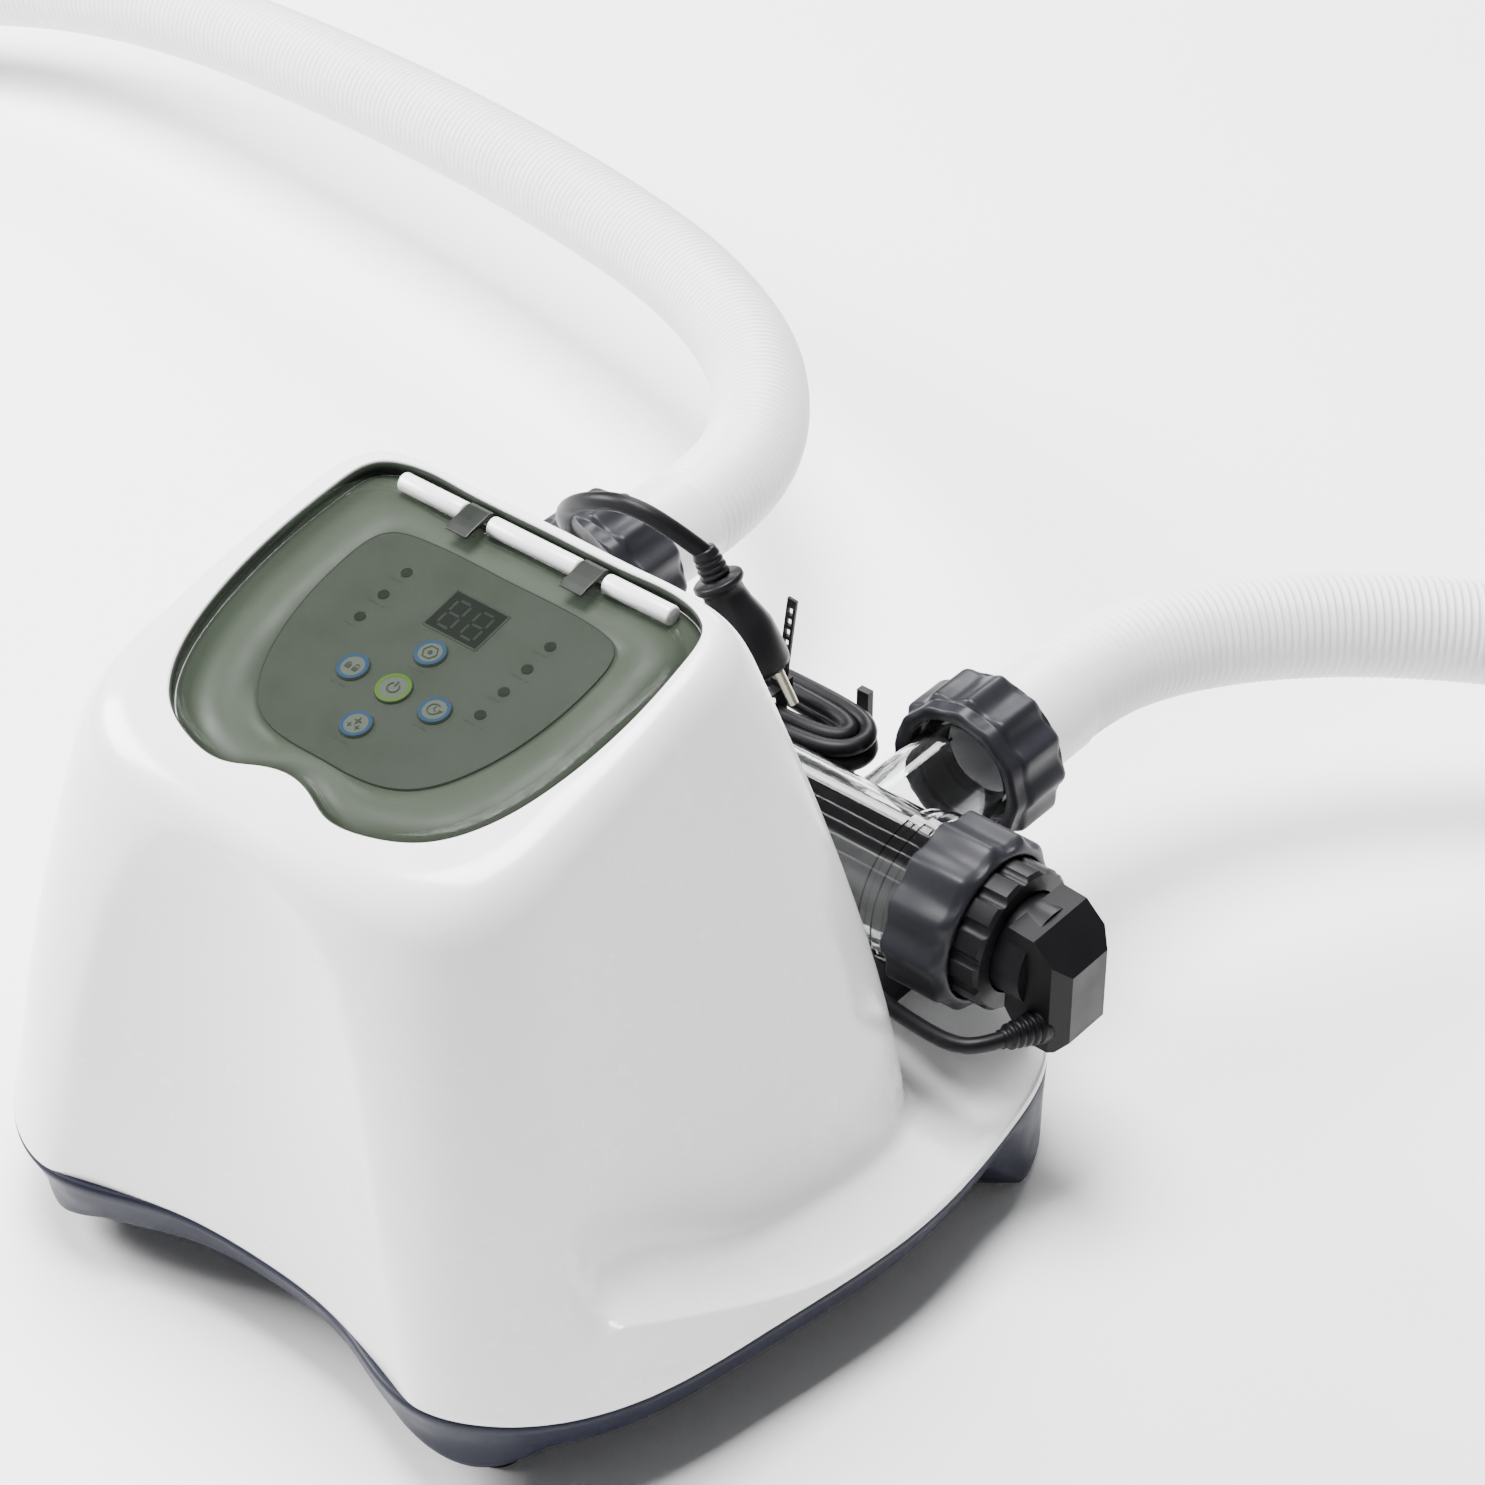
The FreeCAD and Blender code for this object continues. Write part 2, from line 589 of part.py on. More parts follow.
# ---------------------------------------------------------------- power supply in the base
FLOOR = dim("tray_floor") + dim("tray_wall")
supply_plate = padded("supply_plate", "XY_Plane",
                      [box_corners("-84", "84", "-70", "22"), ("-70", "-56", "2"), ("70", "-56", "2")],
                      "2", Placement(Vector(0, 0, FLOOR + 4), Rotation()))
sub_part("supply_board", supply_plate)
core = primitive("Box", "transformer_core", Placement(Vector(-62, -48, FLOOR + 6), Rotation()),
                 Length="58", Width="44", Height="48")
sub_part("transformer_core", core)
winding = [primitive("Box", f"winding_{side}", Placement(Vector(-54, y, FLOOR + 12), Rotation()),
                     Length="42", Width="9", Height="36")
           for side, y in (("front", -57), ("back", -4))]
sub_part("transformer_windings", grouped("winding_group", winding))
fins = [primitive("Box", f"fin_{i}", Placement(Vector(20 + 6 * i, -50, FLOOR + 9), Rotation()),
                  Length="2", Width="40", Height="26") for i in range(6)]
fins.append(primitive("Box", "fin_base", Placement(Vector(18, -50, FLOOR + 6), Rotation()),
                      Length="36", Width="40", Height="3"))
sub_part("heat_sink", fused("heat_sink_body", fins))
sub_part("terminal_block", primitive("Box", "terminals", Placement(Vector(10, 2, FLOOR + 6), Rotation()),
                                     Length="50", Width="14", Height="16"))

# ---------------------------------------------------------------- electrolytic cell
CELL_Y, CELL_Z = dim("cell_y"), dim("cell_z")


def cell_body():
    """Clear T-shaped pipe: one long barrel and two hose ports towards the back."""
    radius, wall = dim("cell_radius"), dim("cell_wall")
    left, thread, end = dim("cell_left"), dim("cell_thread_start"), dim("cell_thread_end")
    port_end, port_thread = dim("port_end"), dim("port_thread_start")
    solids = [rod(radius, (left, CELL_Y, CELL_Z), (end, CELL_Y, CELL_Z)),
              rod(dim("cell_thread_radius"), (thread + 4, CELL_Y, CELL_Z), (end, CELL_Y, CELL_Z)),
              rod(radius + 2.4, (thread - 4, CELL_Y, CELL_Z), (thread + 5, CELL_Y, CELL_Z))]
    hollows = [rod(radius - wall, (left + wall + 1, CELL_Y, CELL_Z), (end + 1, CELL_Y, CELL_Z))]
    for port in (dim("port_left"), dim("port_right")):
        solids.append(rod(dim("port_radius"), (port, CELL_Y, CELL_Z), (port, port_end, CELL_Z)))
        solids.append(rod(dim("port_thread_radius"), (port, port_thread, CELL_Z),
                          (port, port_end, CELL_Z)))
        hollows.append(rod(dim("port_radius") - dim("port_wall"), (port, CELL_Y, CELL_Z),
                           (port, port_end + 1, CELL_Z)))
    body = solids[0].fuse(solids[1:])
    for hollow in hollows:
        body = body.cut(hollow)
    closed_end = [edge for edge in body.Edges
                  if abs(edge.BoundBox.XMin - left) < 0.01 and edge.BoundBox.XLength < 0.01
                  and edge.BoundBox.YLength > 2 * radius - 1]
    return body.makeFillet(4, closed_end)


feature("cell_body", cell_body())

plates = [primitive("Box", f"plate_{i}", Placement(Vector(-44, CELL_Y - 17.5 + 7 * i, CELL_Z - 15),
                                                   Rotation()),
                    Length="172", Width="1", Height="30") for i in range(6)]
sub_part("electrode_plates", grouped("plate_group", plates))
cap_place = Placement(Vector(0, CELL_Y, CELL_Z), ALONG_X)
flange_start = cell("cell_thread_end") + " + 1.2"
flange_end = cell("cell_nut_start") + " + " + cell("cell_nut_width") + " - 6.6"
cap_profile = [("0", "128"), (cell("cell_radius") + " - " + cell("cell_wall") + " - 0.1", "128"),
               (cell("cell_radius") + " - " + cell("cell_wall") + " - 0.1", flange_start),
               (cell("cap_flange_radius"), flange_start), (cell("cap_flange_radius"), flange_end),
               (cell("cap_neck_radius"), flange_end),
               (cell("cap_neck_radius"), cell("cap_neck_end")), ("0", cell("cap_neck_end"))]
sub_part("electrode_cap", turned("electrode_cap", cap_profile, cap_place))
sub_part("cell_seal", turned("cell_seal", [("27", cell("cell_thread_end")), ("31", cell("cell_thread_end")),
                                           ("31", flange_start), ("27", flange_start)], cap_place))

nut_start = cell("cell_nut_start")
nut_end = nut_start + " + " + cell("cell_nut_width")
nut_profile = [(cell("cell_thread_radius") + " + 0.1", nut_start),
               (cell("cell_nut_radius") + " - 1.2", nut_start),
               (cell("cell_nut_radius"), nut_start + " + 1.2"),
               (cell("cell_nut_radius"), nut_end + " - 2"),
               (cell("cell_nut_radius") + " - 2", nut_end),
               (cell("ring_radius") + " + 0.8", nut_end),
               (cell("ring_radius") + " + 0.8", nut_end + " - 6.5"),
               (cell("cell_thread_radius") + " + 0.1", nut_end + " - 6.5")]
cell_nut = turned("cell_nut", nut_profile, cap_place)
scalloped(cell_nut, "cell_nut", 12, cell("cell_nut_radius") + " + 4.4", "5.6")
sub_part("cell_nut", cell_nut)

ring_profile = [(cell("cap_neck_radius") + " + 0.1", cell("ring_start")),
                (cell("ring_radius"), cell("ring_start")),
                (cell("ring_radius"), cell("ring_end") + " - 1.5"),
                (cell("ring_radius") + " - 1.5", cell("ring_end")),
                (cell("cap_neck_radius") + " - 2.3", cell("ring_end")),
                (cell("cap_neck_radius") + " - 2.3", cell("cap_neck_end") + " + 0.3"),
                (cell("cap_neck_radius") + " + 0.1", cell("cap_neck_end") + " + 0.3")]
coupling = turned("coupling_ring", ring_profile, cap_place)
scalloped(coupling, "coupling_ring", 14, cell("ring_radius") + " + 2.1", "3.6")
sub_part("coupling_ring", coupling)

PORTS = (("left", "port_left"), ("right", "port_right"))
seals = []
for side, port in PORTS:
    place = Placement(Vector(dim(port), 0, CELL_Z), ALONG_Y)
    start = cell("port_nut_start")
    end = start + " + " + cell("port_nut_width")
    profile = [(cell("port_thread_radius") + " + 0.1", start),
               (cell("port_nut_radius") + " - 1.5", start),
               (cell("port_nut_radius"), start + " + 1.5"),
               (cell("port_nut_radius"), end + " - 3"), (cell("port_nut_radius") + " - 3", end),
               (cell("cuff_radius") + " + 0.6", end), (cell("cuff_radius") + " + 0.6", end + " - 6"),
               (cell("port_thread_radius") + " + 0.1", end + " - 6")]
    nut = turned(f"port_nut_{side}", profile, place)
    scalloped(nut, f"port_nut_{side}", 12, cell("port_nut_radius") + " + 4", "5.8")
    sub_part(f"port_nut_{side}", nut)
    seals.append(turned(f"port_seal_{side}", [("20", cell("port_end")), ("24.6", cell("port_end")),
                                        ("24.6", cell("port_end") + " + 1.4"),
                                        ("20", cell("port_end") + " + 1.4")], place))
    cuff = turned(f"hose_cuff_{side}", [(cell("cuff_bore"), cell("port_end") + " + 1.4"),
                                        ("25.2", cell("port_end") + " + 1.4"),
                                        ("25.2", cell("port_end") + " + 5.6"),
                                        (cell("cuff_radius"), cell("port_end") + " + 5.6"),
                                        (cell("cuff_radius"), cell("cuff_end")),
                                        (cell("cuff_bore"), cell("cuff_end"))], place)
    sub_part(f"hose_cuff_{side}", cuff)

sub_part("port_seals", grouped("port_seal_group", seals))

CRADLES = (("cell_cradle_left", -92.0), ("cell_cradle_right", 93.0))
deck_top = cell("rim_height") + " + " + cell("deck_thickness")
for name, x in CRADLES:
    foot = primitive("Box", name + "_plate", Placement(Vector(x, 73, dim("rim_height") + 4), Rotation()),
                     Length="5", Width="42", Height="50")
    tube = primitive("Cylinder", name + "_seat", Placement(Vector(x - 1, CELL_Y, CELL_Z), ALONG_X),
                     Radius=cell("cell_radius") + " + 0.1", Height="7")
    sub_part(name, subtracted(name + "_cut", foot, tube))
hook_corners = [("73", deck_top), ("126", deck_top), ("173", "98"), ("173", "122"), ("169.5", "122"),
                ("169.5", "106.4"), ("118", "106.4"), ("73", "100")]
hook = padded("middle_hook", "YZ_Plane", [hook_corners], "6",
              Placement(Vector(15, 0, 0), Rotation()))
seat = primitive("Cylinder", "middle_seat", Placement(Vector(14, CELL_Y, CELL_Z), ALONG_X),
                 Radius=cell("cell_radius") + " + 0.1", Height="8")
sub_part("cell_cradle_middle", subtracted("cell_cradle_middle_cut", hook, seat))

# ---------------------------------------------------------------- flow sensor
sensor_place = Placement(Vector(-60, CELL_Y, 72), Rotation())
sub_part("flow_sensor", turned("flow_sensor", [("0", "0"), ("9", "0"), ("10", "1"), ("10", "10"),
                                               ("6", "12"), ("6", "13.6"), ("0", "13.6")],
                               sensor_place))

# ---------------------------------------------------------------- glands
for name, (where, cord) in zip(("mains_gland", "cell_lead_gland", "sensor_gland"), GLANDS):
    place = Placement(Vector(dim(where), 0, dim("gland_z")), ALONG_Y)
    face = cell("gland_face")
    profile = [(cell(cord) + " + 0.05", face + " - 9"), ("8.8", face + " - 9"), ("8.8", face + " - 5.2"),
               ("6.5", face + " - 5.2"), ("6.5", face), ("9", face), ("9", face + " + 3"),
               ("7.2", face + " + 5"), ("6.2", face + " + " + cell("gland_length")),
               (cell(cord) + " + 0.05", face + " + " + cell("gland_length"))]
    sub_part(name, turned(name, profile, place))
GLAND_END = dim("gland_face") + dim("gland_length")


# ---------------------------------------------------------------- cords and hoses
def cord_tube(label, route, radius, bore=0.0):
    """A tube of straight runs joined by tangent arcs, each as large as its runs allow."""
    spots = [Vector(*spot) for spot in route]
    edges = []
    radii = []
    length = 0.0
    here = spots[0]
    for before, corner, after in zip(spots, spots[1:], spots[2:]):
        incoming = corner - before
        outgoing = after - corner
        half_turn = incoming.getAngle(outgoing) / 2
        reach = 0.45 * min(incoming.Length, outgoing.Length)
        arc_radius = reach / math.tan(half_turn)
        radii.append(arc_radius)
        coming = Vector(incoming).normalize()
        going = Vector(outgoing).normalize()
        entry = corner - coming * reach
        leave = corner + going * reach
        inward = (going - coming).normalize()
        middle = corner + inward * (arc_radius / math.cos(half_turn) - arc_radius)
        edges.append(Part.LineSegment(here, entry).toShape())
        edges.append(Part.Arc(entry, middle, leave).toShape())
        length += (entry - here).Length + 2 * half_turn * arc_radius
        here = leave
    edges.append(Part.LineSegment(here, spots[-1]).toShape())
    length += (spots[-1] - here).Length
    path = Part.Wire(edges)
    start = (spots[1] - spots[0]).normalize()

    def swept(size):
        circle = Part.Wire([Part.makeCircle(size, spots[0], start)])
        return path.makePipeShell([circle], True, False)

    tube = swept(radius)
    expected = math.pi * radius ** 2 * length
    if bore:
        tube = tube.cut(swept(bore))
        expected -= math.pi * bore ** 2 * length
    assert abs(tube.Volume / expected - 1) < 0.01, label + ": the sweep lost volume"
    print(f"{label}: {length:.0f} mm long, smallest bend {min(radii):.0f} mm,",
          "radii", [round(value) for value in radii])
    return feature(label, tube)


LEFT_HOSE = [(-125, 222.6, 114), (-125, 241, 114), (-132, 277, 113.5), (-154, 314, 112),
             (-192, 352, 109.5), (-253, 386, 104.5), (-317, 407, 100), (-396, 424, 96),
             (-482, 436, 92), (-572, 444, 87), (-662, 449, 80), (-749, 444, 69),
             (-826, 419, 57), (-889, 374, 46), (-930, 308, 38), (-947, 231, 33),
             (-949, 153, 30.5), (-945, 75, 30), (-940, -3, 32), (-936, -68, 34.5), (-936, -126, 35)]
RIGHT_HOSE = [(75, 222.6, 114), (75, 240, 114), (80, 270, 113.3), (95, 305, 110.5),
              (121, 344, 106), (157, 384, 99), (205, 425, 90), (264, 463, 80), (333, 494, 69),
              (410, 511, 58), (492, 512, 48), (573, 495, 40.5), (647, 457, 35), (708, 400, 31),
              (749, 327, 28), (765, 244, 27), (764, 159, 28), (757, 75, 30), (748, 0, 33),
              (743, -66, 34.8), (743, -126, 35)]
MAINS_FROM_GLAND = [(-70, GLAND_END, 70), (-71, 88, 67.5), (-74, 109, 66), (-79, 126, 71),
                    (-83, 138, 82), (-84, 145, 95), (-84, 147, 106.2)]
MAINS_TO_PLUG = [(-83, 142, 130.6), (-85, 136, 150), (-85, 120, 175), (-80, 100, 199),
                 (-68, 86, 220), (-51, 80, 235), (-32, 81, 242), (-15.5, 86, 237), (-3.6, 96, 222.4)]
CELL_LEAD = [(40, GLAND_END, 70), (41.5, 80, 69), (48.5, 91, 68.5), (60, 94, 69), (71, 89, 71.5),
             (80, 78.5, 75.5), (89, 69, 80), (101, 62.5, 84), (114, 57.5, 87), (129, 53, 89.5),
             (144, 50, 91.5), (157, 48.8, 93), (167, 52, 94.2), (172, 62, 94.5)]
SENSOR_LEAD = [(-49.7, 94, 77), (-40, 93.5, 76.5), (-31, 89, 74.5), (-26.5, 80, 71.5),
               (-25, GLAND_END, 70)]

cord_tube("hose_left", LEFT_HOSE, dim("hose_radius"), dim("hose_bore"))
cord_tube("hose_right", RIGHT_HOSE, dim("hose_radius"), dim("hose_bore"))
cord_tube("mains_cord_lower", MAINS_FROM_GLAND, dim("mains_radius"))
cord_tube("mains_cord_upper", MAINS_TO_PLUG, dim("mains_radius"))
cord_tube("cell_lead", CELL_LEAD, dim("lead_radius"))
cord_tube("sensor_lead", SENSOR_LEAD, dim("sensor_lead_radius"))

for side, route in (("left", LEFT_HOSE), ("right", RIGHT_HOSE)):
    finish = Vector(*route[-1])
    heading = Vector(route[-1][0] - route[-2][0], route[-1][1] - route[-2][1], 0).normalize()
    place = Placement(finish + heading * dim("cuff_gap"), pointing(heading))
    cuff = turned(f"hose_end_cuff_{side}", [(cell("cuff_bore"), "0"), (cell("cuff_radius"), "0"),
                                            (cell("cuff_radius"), "46"), ("25.2", "46"),
                                            ("25.2", "50"), (cell("cuff_bore"), "50")], place)
    sub_part(f"hose_end_cuff_{side}", cuff)
    nut_profile = [(cell("cuff_radius") + " + 0.15", "28"), (cell("port_nut_radius") + " - 3", "28"),
                   (cell("port_nut_radius"), "31"), (cell("port_nut_radius"), "58.5"),
                   (cell("port_nut_radius") + " - 1.5", "60"), ("26", "60"), ("26", "45.7"),
                   (cell("cuff_radius") + " + 0.15", "45.7")]
    nut = turned(f"hose_end_nut_{side}", nut_profile, place)
    scalloped(nut, f"hose_end_nut_{side}", 12, cell("port_nut_radius") + " + 4", "5.8")
    sub_part(f"hose_end_nut_{side}", nut)


def mains_hank():
    """Outer shape of the folded mains cord: a flat ring of strands with a narrow eye."""
    def stadium(length, width, low, height):
        half = width / 2
        straight = length / 2 - half
        middle = block(-straight, straight, -half, half, low, low + height)
        ends = [Part.makeCylinder(half, height, Vector(side * straight, 0, low)) for side in (-1, 1)]
        return middle.fuse(ends).removeSplitter()

    ring = stadium(134, 42, 0, 22)
    rims = [edge for edge in ring.Edges if edge.BoundBox.ZLength < 0.01]
    ring = ring.makeFillet(6, rims)
    return ring.cut(stadium(100, 8, -1, 24))


feature("mains_hank", mains_hank(), Placement(Vector(-25, 147, 107), Rotation()))

PLUG_AXIS = Vector(28, 5, -55).normalize()
plug_place = Placement(Vector(-2.4, 97, 220.7), pointing(PLUG_AXIS))
plug_profile = [("0", "0"), ("5.2", "0"), ("6.2", "11"), ("10.5", "11"), ("10.5", "14.5"), ("8.5", "16"),
                ("10", "24"), ("13.2", "34"), ("13.4", "52"), ("12.2", "54"), ("0", "54")]
plug_body = turned("mains_plug", plug_profile, plug_place)
sub_part("mains_plug", plug_body)
pins = []
for number, side in enumerate((-1, 1)):
    local = Placement(Vector(side * 6.5, 0, 54), Rotation())
    pins.append(primitive("Cylinder", f"plug_pin_{number}", plug_place.multiply(local),
                          Radius="2", Height="15"))
sub_part("mains_plug_pins", grouped("plug_pin_group", pins))


def cable_tie():
    """A strap round the hank's front strands, with its long slotted tail standing up."""
    around = block(-6.5, -1.5, 124.4, 144.6, 105.4, 130.6)
    around = around.cut(block(-8, 0, 125.8, 143.2, 106.7, 129.3))
    head = block(-7.5, -0.5, 141, 147, 129.3, 134)
    tail = Part.makeBox(4.6, 1.4, 42, Vector(-2.3, -0.7, 0))
    for step in range(6):
        tail = tail.cut(Part.makeBox(2.2, 4, 3.6, Vector(-1.1, -2, 6 + 5.6 * step)))
    tail.Placement = Placement(Vector(-4, 144.5, 133.5), Rotation(Vector(0, 1, 0), 7))
    return around.fuse([head, tail]).removeSplitter()


feature("cable_tie", cable_tie())


def cell_plug():
    """Angled moulded plug: round nose inside the coupling ring, boxy head, cord to the front."""
    nose = rod(20.5, (dim("cap_neck_end") + 0.6, CELL_Y, CELL_Z), (170, CELL_Y, CELL_Z))
    corners = [(161, 134), (173, 133), (188, 119), (188, 86), (184, 82), (170, 82), (161, 94)]
    face = Part.Face(Part.makePolygon([Vector(x, 78, z) for x, z in corners + corners[:1]]))
    head = face.extrude(Vector(0, 34, 0))
    bevels = [edge for edge in head.Edges if abs(edge.BoundBox.XMax - 188) < 0.1
              and edge.BoundBox.XLength < 0.1 and edge.BoundBox.YLength < 0.1]
    head = head.makeChamfer(6, bevels)
    return nose.fuse(head).removeSplitter()


feature("cell_plug", cell_plug())
relief_start = Vector(177, 79, 92.3)
relief_end = Vector(*CELL_LEAD[-1])
relief_length = (relief_end - relief_start).Length
relief_profile = [("0", "0"), ("7", "0")]
for ring in range(4):
    low = 1.5 + 3.8 * ring
    size = 6.6 - 0.45 * ring
    relief_profile += [(f"{size:.2f}", f"{low:.2f}"), (f"{size:.2f}", f"{low + 2.2:.2f}"),
                       (f"{size - 1.2:.2f}", f"{low + 2.5:.2f}"), (f"{size - 1.2:.2f}", f"{low + 3.5:.2f}")]
relief_profile += [("3.9", f"{relief_length - 1.2:.2f}"), ("0", f"{relief_length - 1.2:.2f}")]
relief_place = Placement(relief_start, pointing(relief_end - relief_start))
relief = turned("cell_plug_boot", relief_profile, relief_place)
trim = primitive("Box", "relief_trim", Placement(Vector(160, 77.8, 78), Rotation()),
                 Length="30", Width="20", Height="30")
sub_part("cell_plug_relief", subtracted("cell_plug_relief_cut", relief, trim))

# ---------------------------------------------------------------- check and write
doc.recompute()
for obj in doc.Objects:
    assert "Invalid" not in obj.State and "Error" not in obj.State, f"{obj.Name} failed: {obj.State}"
for obj in sub_parts:
    assert not obj.Shape.isNull() and obj.Shape.isValid(), obj.Label + " has no valid shape"
    obj.Shape.exportStep(f"parts/{obj.Label}.step")
print(len(sub_parts), "sub-parts written")
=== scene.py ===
import math

import bmesh
import bpy
import numpy as np
from mathutils import Matrix, Vector


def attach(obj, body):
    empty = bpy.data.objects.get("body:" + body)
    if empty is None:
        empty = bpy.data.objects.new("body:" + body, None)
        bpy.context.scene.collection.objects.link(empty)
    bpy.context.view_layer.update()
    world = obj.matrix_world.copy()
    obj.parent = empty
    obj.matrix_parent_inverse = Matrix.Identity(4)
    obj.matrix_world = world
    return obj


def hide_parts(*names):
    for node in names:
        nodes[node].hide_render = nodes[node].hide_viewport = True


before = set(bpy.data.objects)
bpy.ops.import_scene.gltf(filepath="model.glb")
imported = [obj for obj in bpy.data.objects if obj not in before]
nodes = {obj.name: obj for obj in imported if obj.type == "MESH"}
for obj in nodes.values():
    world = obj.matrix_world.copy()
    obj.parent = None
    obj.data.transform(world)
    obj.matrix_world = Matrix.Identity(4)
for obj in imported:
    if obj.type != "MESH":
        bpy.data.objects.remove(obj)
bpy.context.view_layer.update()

MM = 0.001
collection = bpy.context.scene.collection

# ---- camera and light
camera_data = bpy.data.cameras.new("camera")
camera_data.sensor_width = 36.0
camera_data.lens = 102.67
camera_data.clip_end = 50.0
camera = bpy.data.objects.new("camera", camera_data)
camera.location = (0.8618, -0.9201, 1.1793)
camera.rotation_euler = (math.radians(51.8), 0.0, math.radians(39.8))
collection.objects.link(camera)
bpy.context.scene.camera = camera


def area_light(name, position, target, size, power):
    """A rectangular white light aimed at a target point."""
    data = bpy.data.lights.new(name, "AREA")
    data.shape = "RECTANGLE"
    data.size, data.size_y = size
    data.energy = power
    lamp = bpy.data.objects.new(name, data)
    lamp.location = position
    lamp.rotation_euler = (Vector(target) - Vector(position)).to_track_quat("-Z", "Y").to_euler()
    collection.objects.link(lamp)


area_light("key_light", (-2.1, -0.8, 1.5), (0.0, -0.02, 0.1), (1.3, 1.0), 175.0)
area_light("top_light", (-0.35, 0.1, 2.6), (0.0, 0.05, 0.0), (1.3, 1.3), 230.0)
area_light("back_light", (-1.0, 2.2, 1.7), (0.0, 0.1, 0.1), (1.4, 0.8), 70.0)

world = bpy.data.worlds.new("studio")
world.use_nodes = True
world.node_tree.nodes["Background"].inputs["Color"].default_value = (1.0, 1.0, 1.0, 1.0)
world.node_tree.nodes["Background"].inputs["Strength"].default_value = 0.22
bpy.context.scene.world = world


# ---- materials
PATCH_LOW, PATCH_HIGH = 0.3, 0.7      # part of a noise's range that is spread out


def shader(name):
    """A new node material, with its tree and its shader."""
    material = bpy.data.materials.new(name)
    material.use_nodes = True
    return material, material.node_tree, material.node_tree.nodes["Principled BSDF"]


def noise(tree, scale, detail):
    """A noise texture fixed to the object."""
    coordinates = tree.nodes.new("ShaderNodeTexCoord")
    texture = tree.nodes.new("ShaderNodeTexNoise")
    texture.inputs["Scale"].default_value = scale
    texture.inputs["Detail"].default_value = detail
    tree.links.new(coordinates.outputs["Object"], texture.inputs["Vector"])
    return texture


def spread_between(tree, source, low, high):
    """The source's middle range spread between two values."""
    ranged = tree.nodes.new("ShaderNodeMapRange")
    ranged.inputs["From Min"].default_value = PATCH_LOW
    ranged.inputs["From Max"].default_value = PATCH_HIGH
    ranged.inputs["To Min"].default_value = low
    ranged.inputs["To Max"].default_value = high
    tree.links.new(source, ranged.inputs["Value"])
    return ranged.outputs["Result"]


def moulded(name, colour, roughness, vary=0.05, grain=1400.0, bump=0.06, depth=0.00012,
            gloss=0.5, **fixed):
    """Moulded plastic, rubber or metal: slight tone patches, uneven gloss and a fine skin."""
    material, tree, bsdf = shader(name)
    patches = noise(tree, 22.0, 3.0)
    ramp = tree.nodes.new("ShaderNodeValToRGB")
    darker, paler = ramp.color_ramp.elements
    darker.position, paler.position = PATCH_LOW, PATCH_HIGH
    darker.color = (*[c * (1.0 - vary) for c in colour], 1.0)
    paler.color = (*[min(1.0, c * (1.0 + vary)) for c in colour], 1.0)
    tree.links.new(patches.outputs["Fac"], ramp.inputs["Fac"])
    tree.links.new(ramp.outputs["Color"], bsdf.inputs["Base Color"])
    smudges = noise(tree, 60.0, 4.0)
    tree.links.new(spread_between(tree, smudges.outputs["Fac"], roughness * 0.85,
                                  min(1.0, roughness * 1.2)), bsdf.inputs["Roughness"])
    skin = noise(tree, grain, 2.0)
    relief = tree.nodes.new("ShaderNodeBump")
    relief.inputs["Strength"].default_value = bump
    relief.inputs["Distance"].default_value = depth
    tree.links.new(skin.outputs["Fac"], relief.inputs["Height"])
    tree.links.new(relief.outputs["Normal"], bsdf.inputs["Normal"])
    bsdf.inputs["Specular IOR Level"].default_value = gloss
    for socket, value in fixed.items():
        bsdf.inputs[socket.replace("_", " ")].default_value = value
    return material


shell_white = moulded("shell_white", (0.80, 0.80, 0.80), 0.24, vary=0.012, grain=700.0,
                      bump=0.03, Coat_Weight=0.35, Coat_Roughness=0.12)
base_navy = moulded("base_navy", (0.010, 0.011, 0.022), 0.42, vary=0.10, grain=1800.0,
                    bump=0.15, gloss=0.15)
pad_rubber = moulded("pad_rubber", (0.012, 0.012, 0.013), 0.75, vary=0.2, grain=900.0,
                     bump=0.3, gloss=0.12)
screw_steel = moulded("screw_steel", (0.55, 0.55, 0.56), 0.32, vary=0.08, Metallic=1.0)
panel_film = moulded("panel_film", (0.016, 0.021, 0.015), 0.42, vary=0.03, grain=2600.0,
                     bump=0.12, gloss=0.15)
film_light = moulded("film_light", (0.042, 0.052, 0.038), 0.45, vary=0.03, gloss=0.2)
hinge_clip = moulded("hinge_clip", (0.009, 0.011, 0.009), 0.3, vary=0.15, gloss=0.25)
ring_blue = moulded("ring_blue", (0.001, 0.024, 0.066), 0.35, vary=0.06, gloss=0.15)
ring_green = moulded("ring_green", (0.036, 0.085, 0.003), 0.35, vary=0.06, gloss=0.15)
print_dark = moulded("print_dark", (0.012, 0.014, 0.012), 0.5, vary=0.1, gloss=0.12)
print_faint = moulded("print_faint", (0.003, 0.004, 0.003), 0.5, vary=0.05, gloss=0.2)
lens_dark = moulded("lens_dark", (0.003, 0.004, 0.003), 0.25, vary=0.1, gloss=0.15)
display_dark = moulded("display_dark", (0.002, 0.002, 0.003), 0.2, vary=0.1, gloss=0.12)
segment_grey = moulded("segment_grey", (0.010, 0.011, 0.012), 0.3, vary=0.1, gloss=0.12)
component_black = moulded("component_black", (0.02, 0.02, 0.02), 0.5, vary=0.15, gloss=0.12)
board_green = moulded("board_green", (0.02, 0.13, 0.05), 0.35, vary=0.15)
core_steel = moulded("core_steel", (0.16, 0.16, 0.17), 0.5, vary=0.15, Metallic=0.9)
copper_winding = moulded("copper_winding", (0.45, 0.19, 0.07), 0.35, vary=0.15, Metallic=0.9)
sink_aluminium = moulded("sink_aluminium", (0.62, 0.62, 0.63), 0.35, vary=0.06, Metallic=1.0)
plate_titanium = moulded("plate_titanium", (0.020, 0.020, 0.022), 0.38, vary=0.25, grain=500.0,
                         bump=0.3, Metallic=0.6)
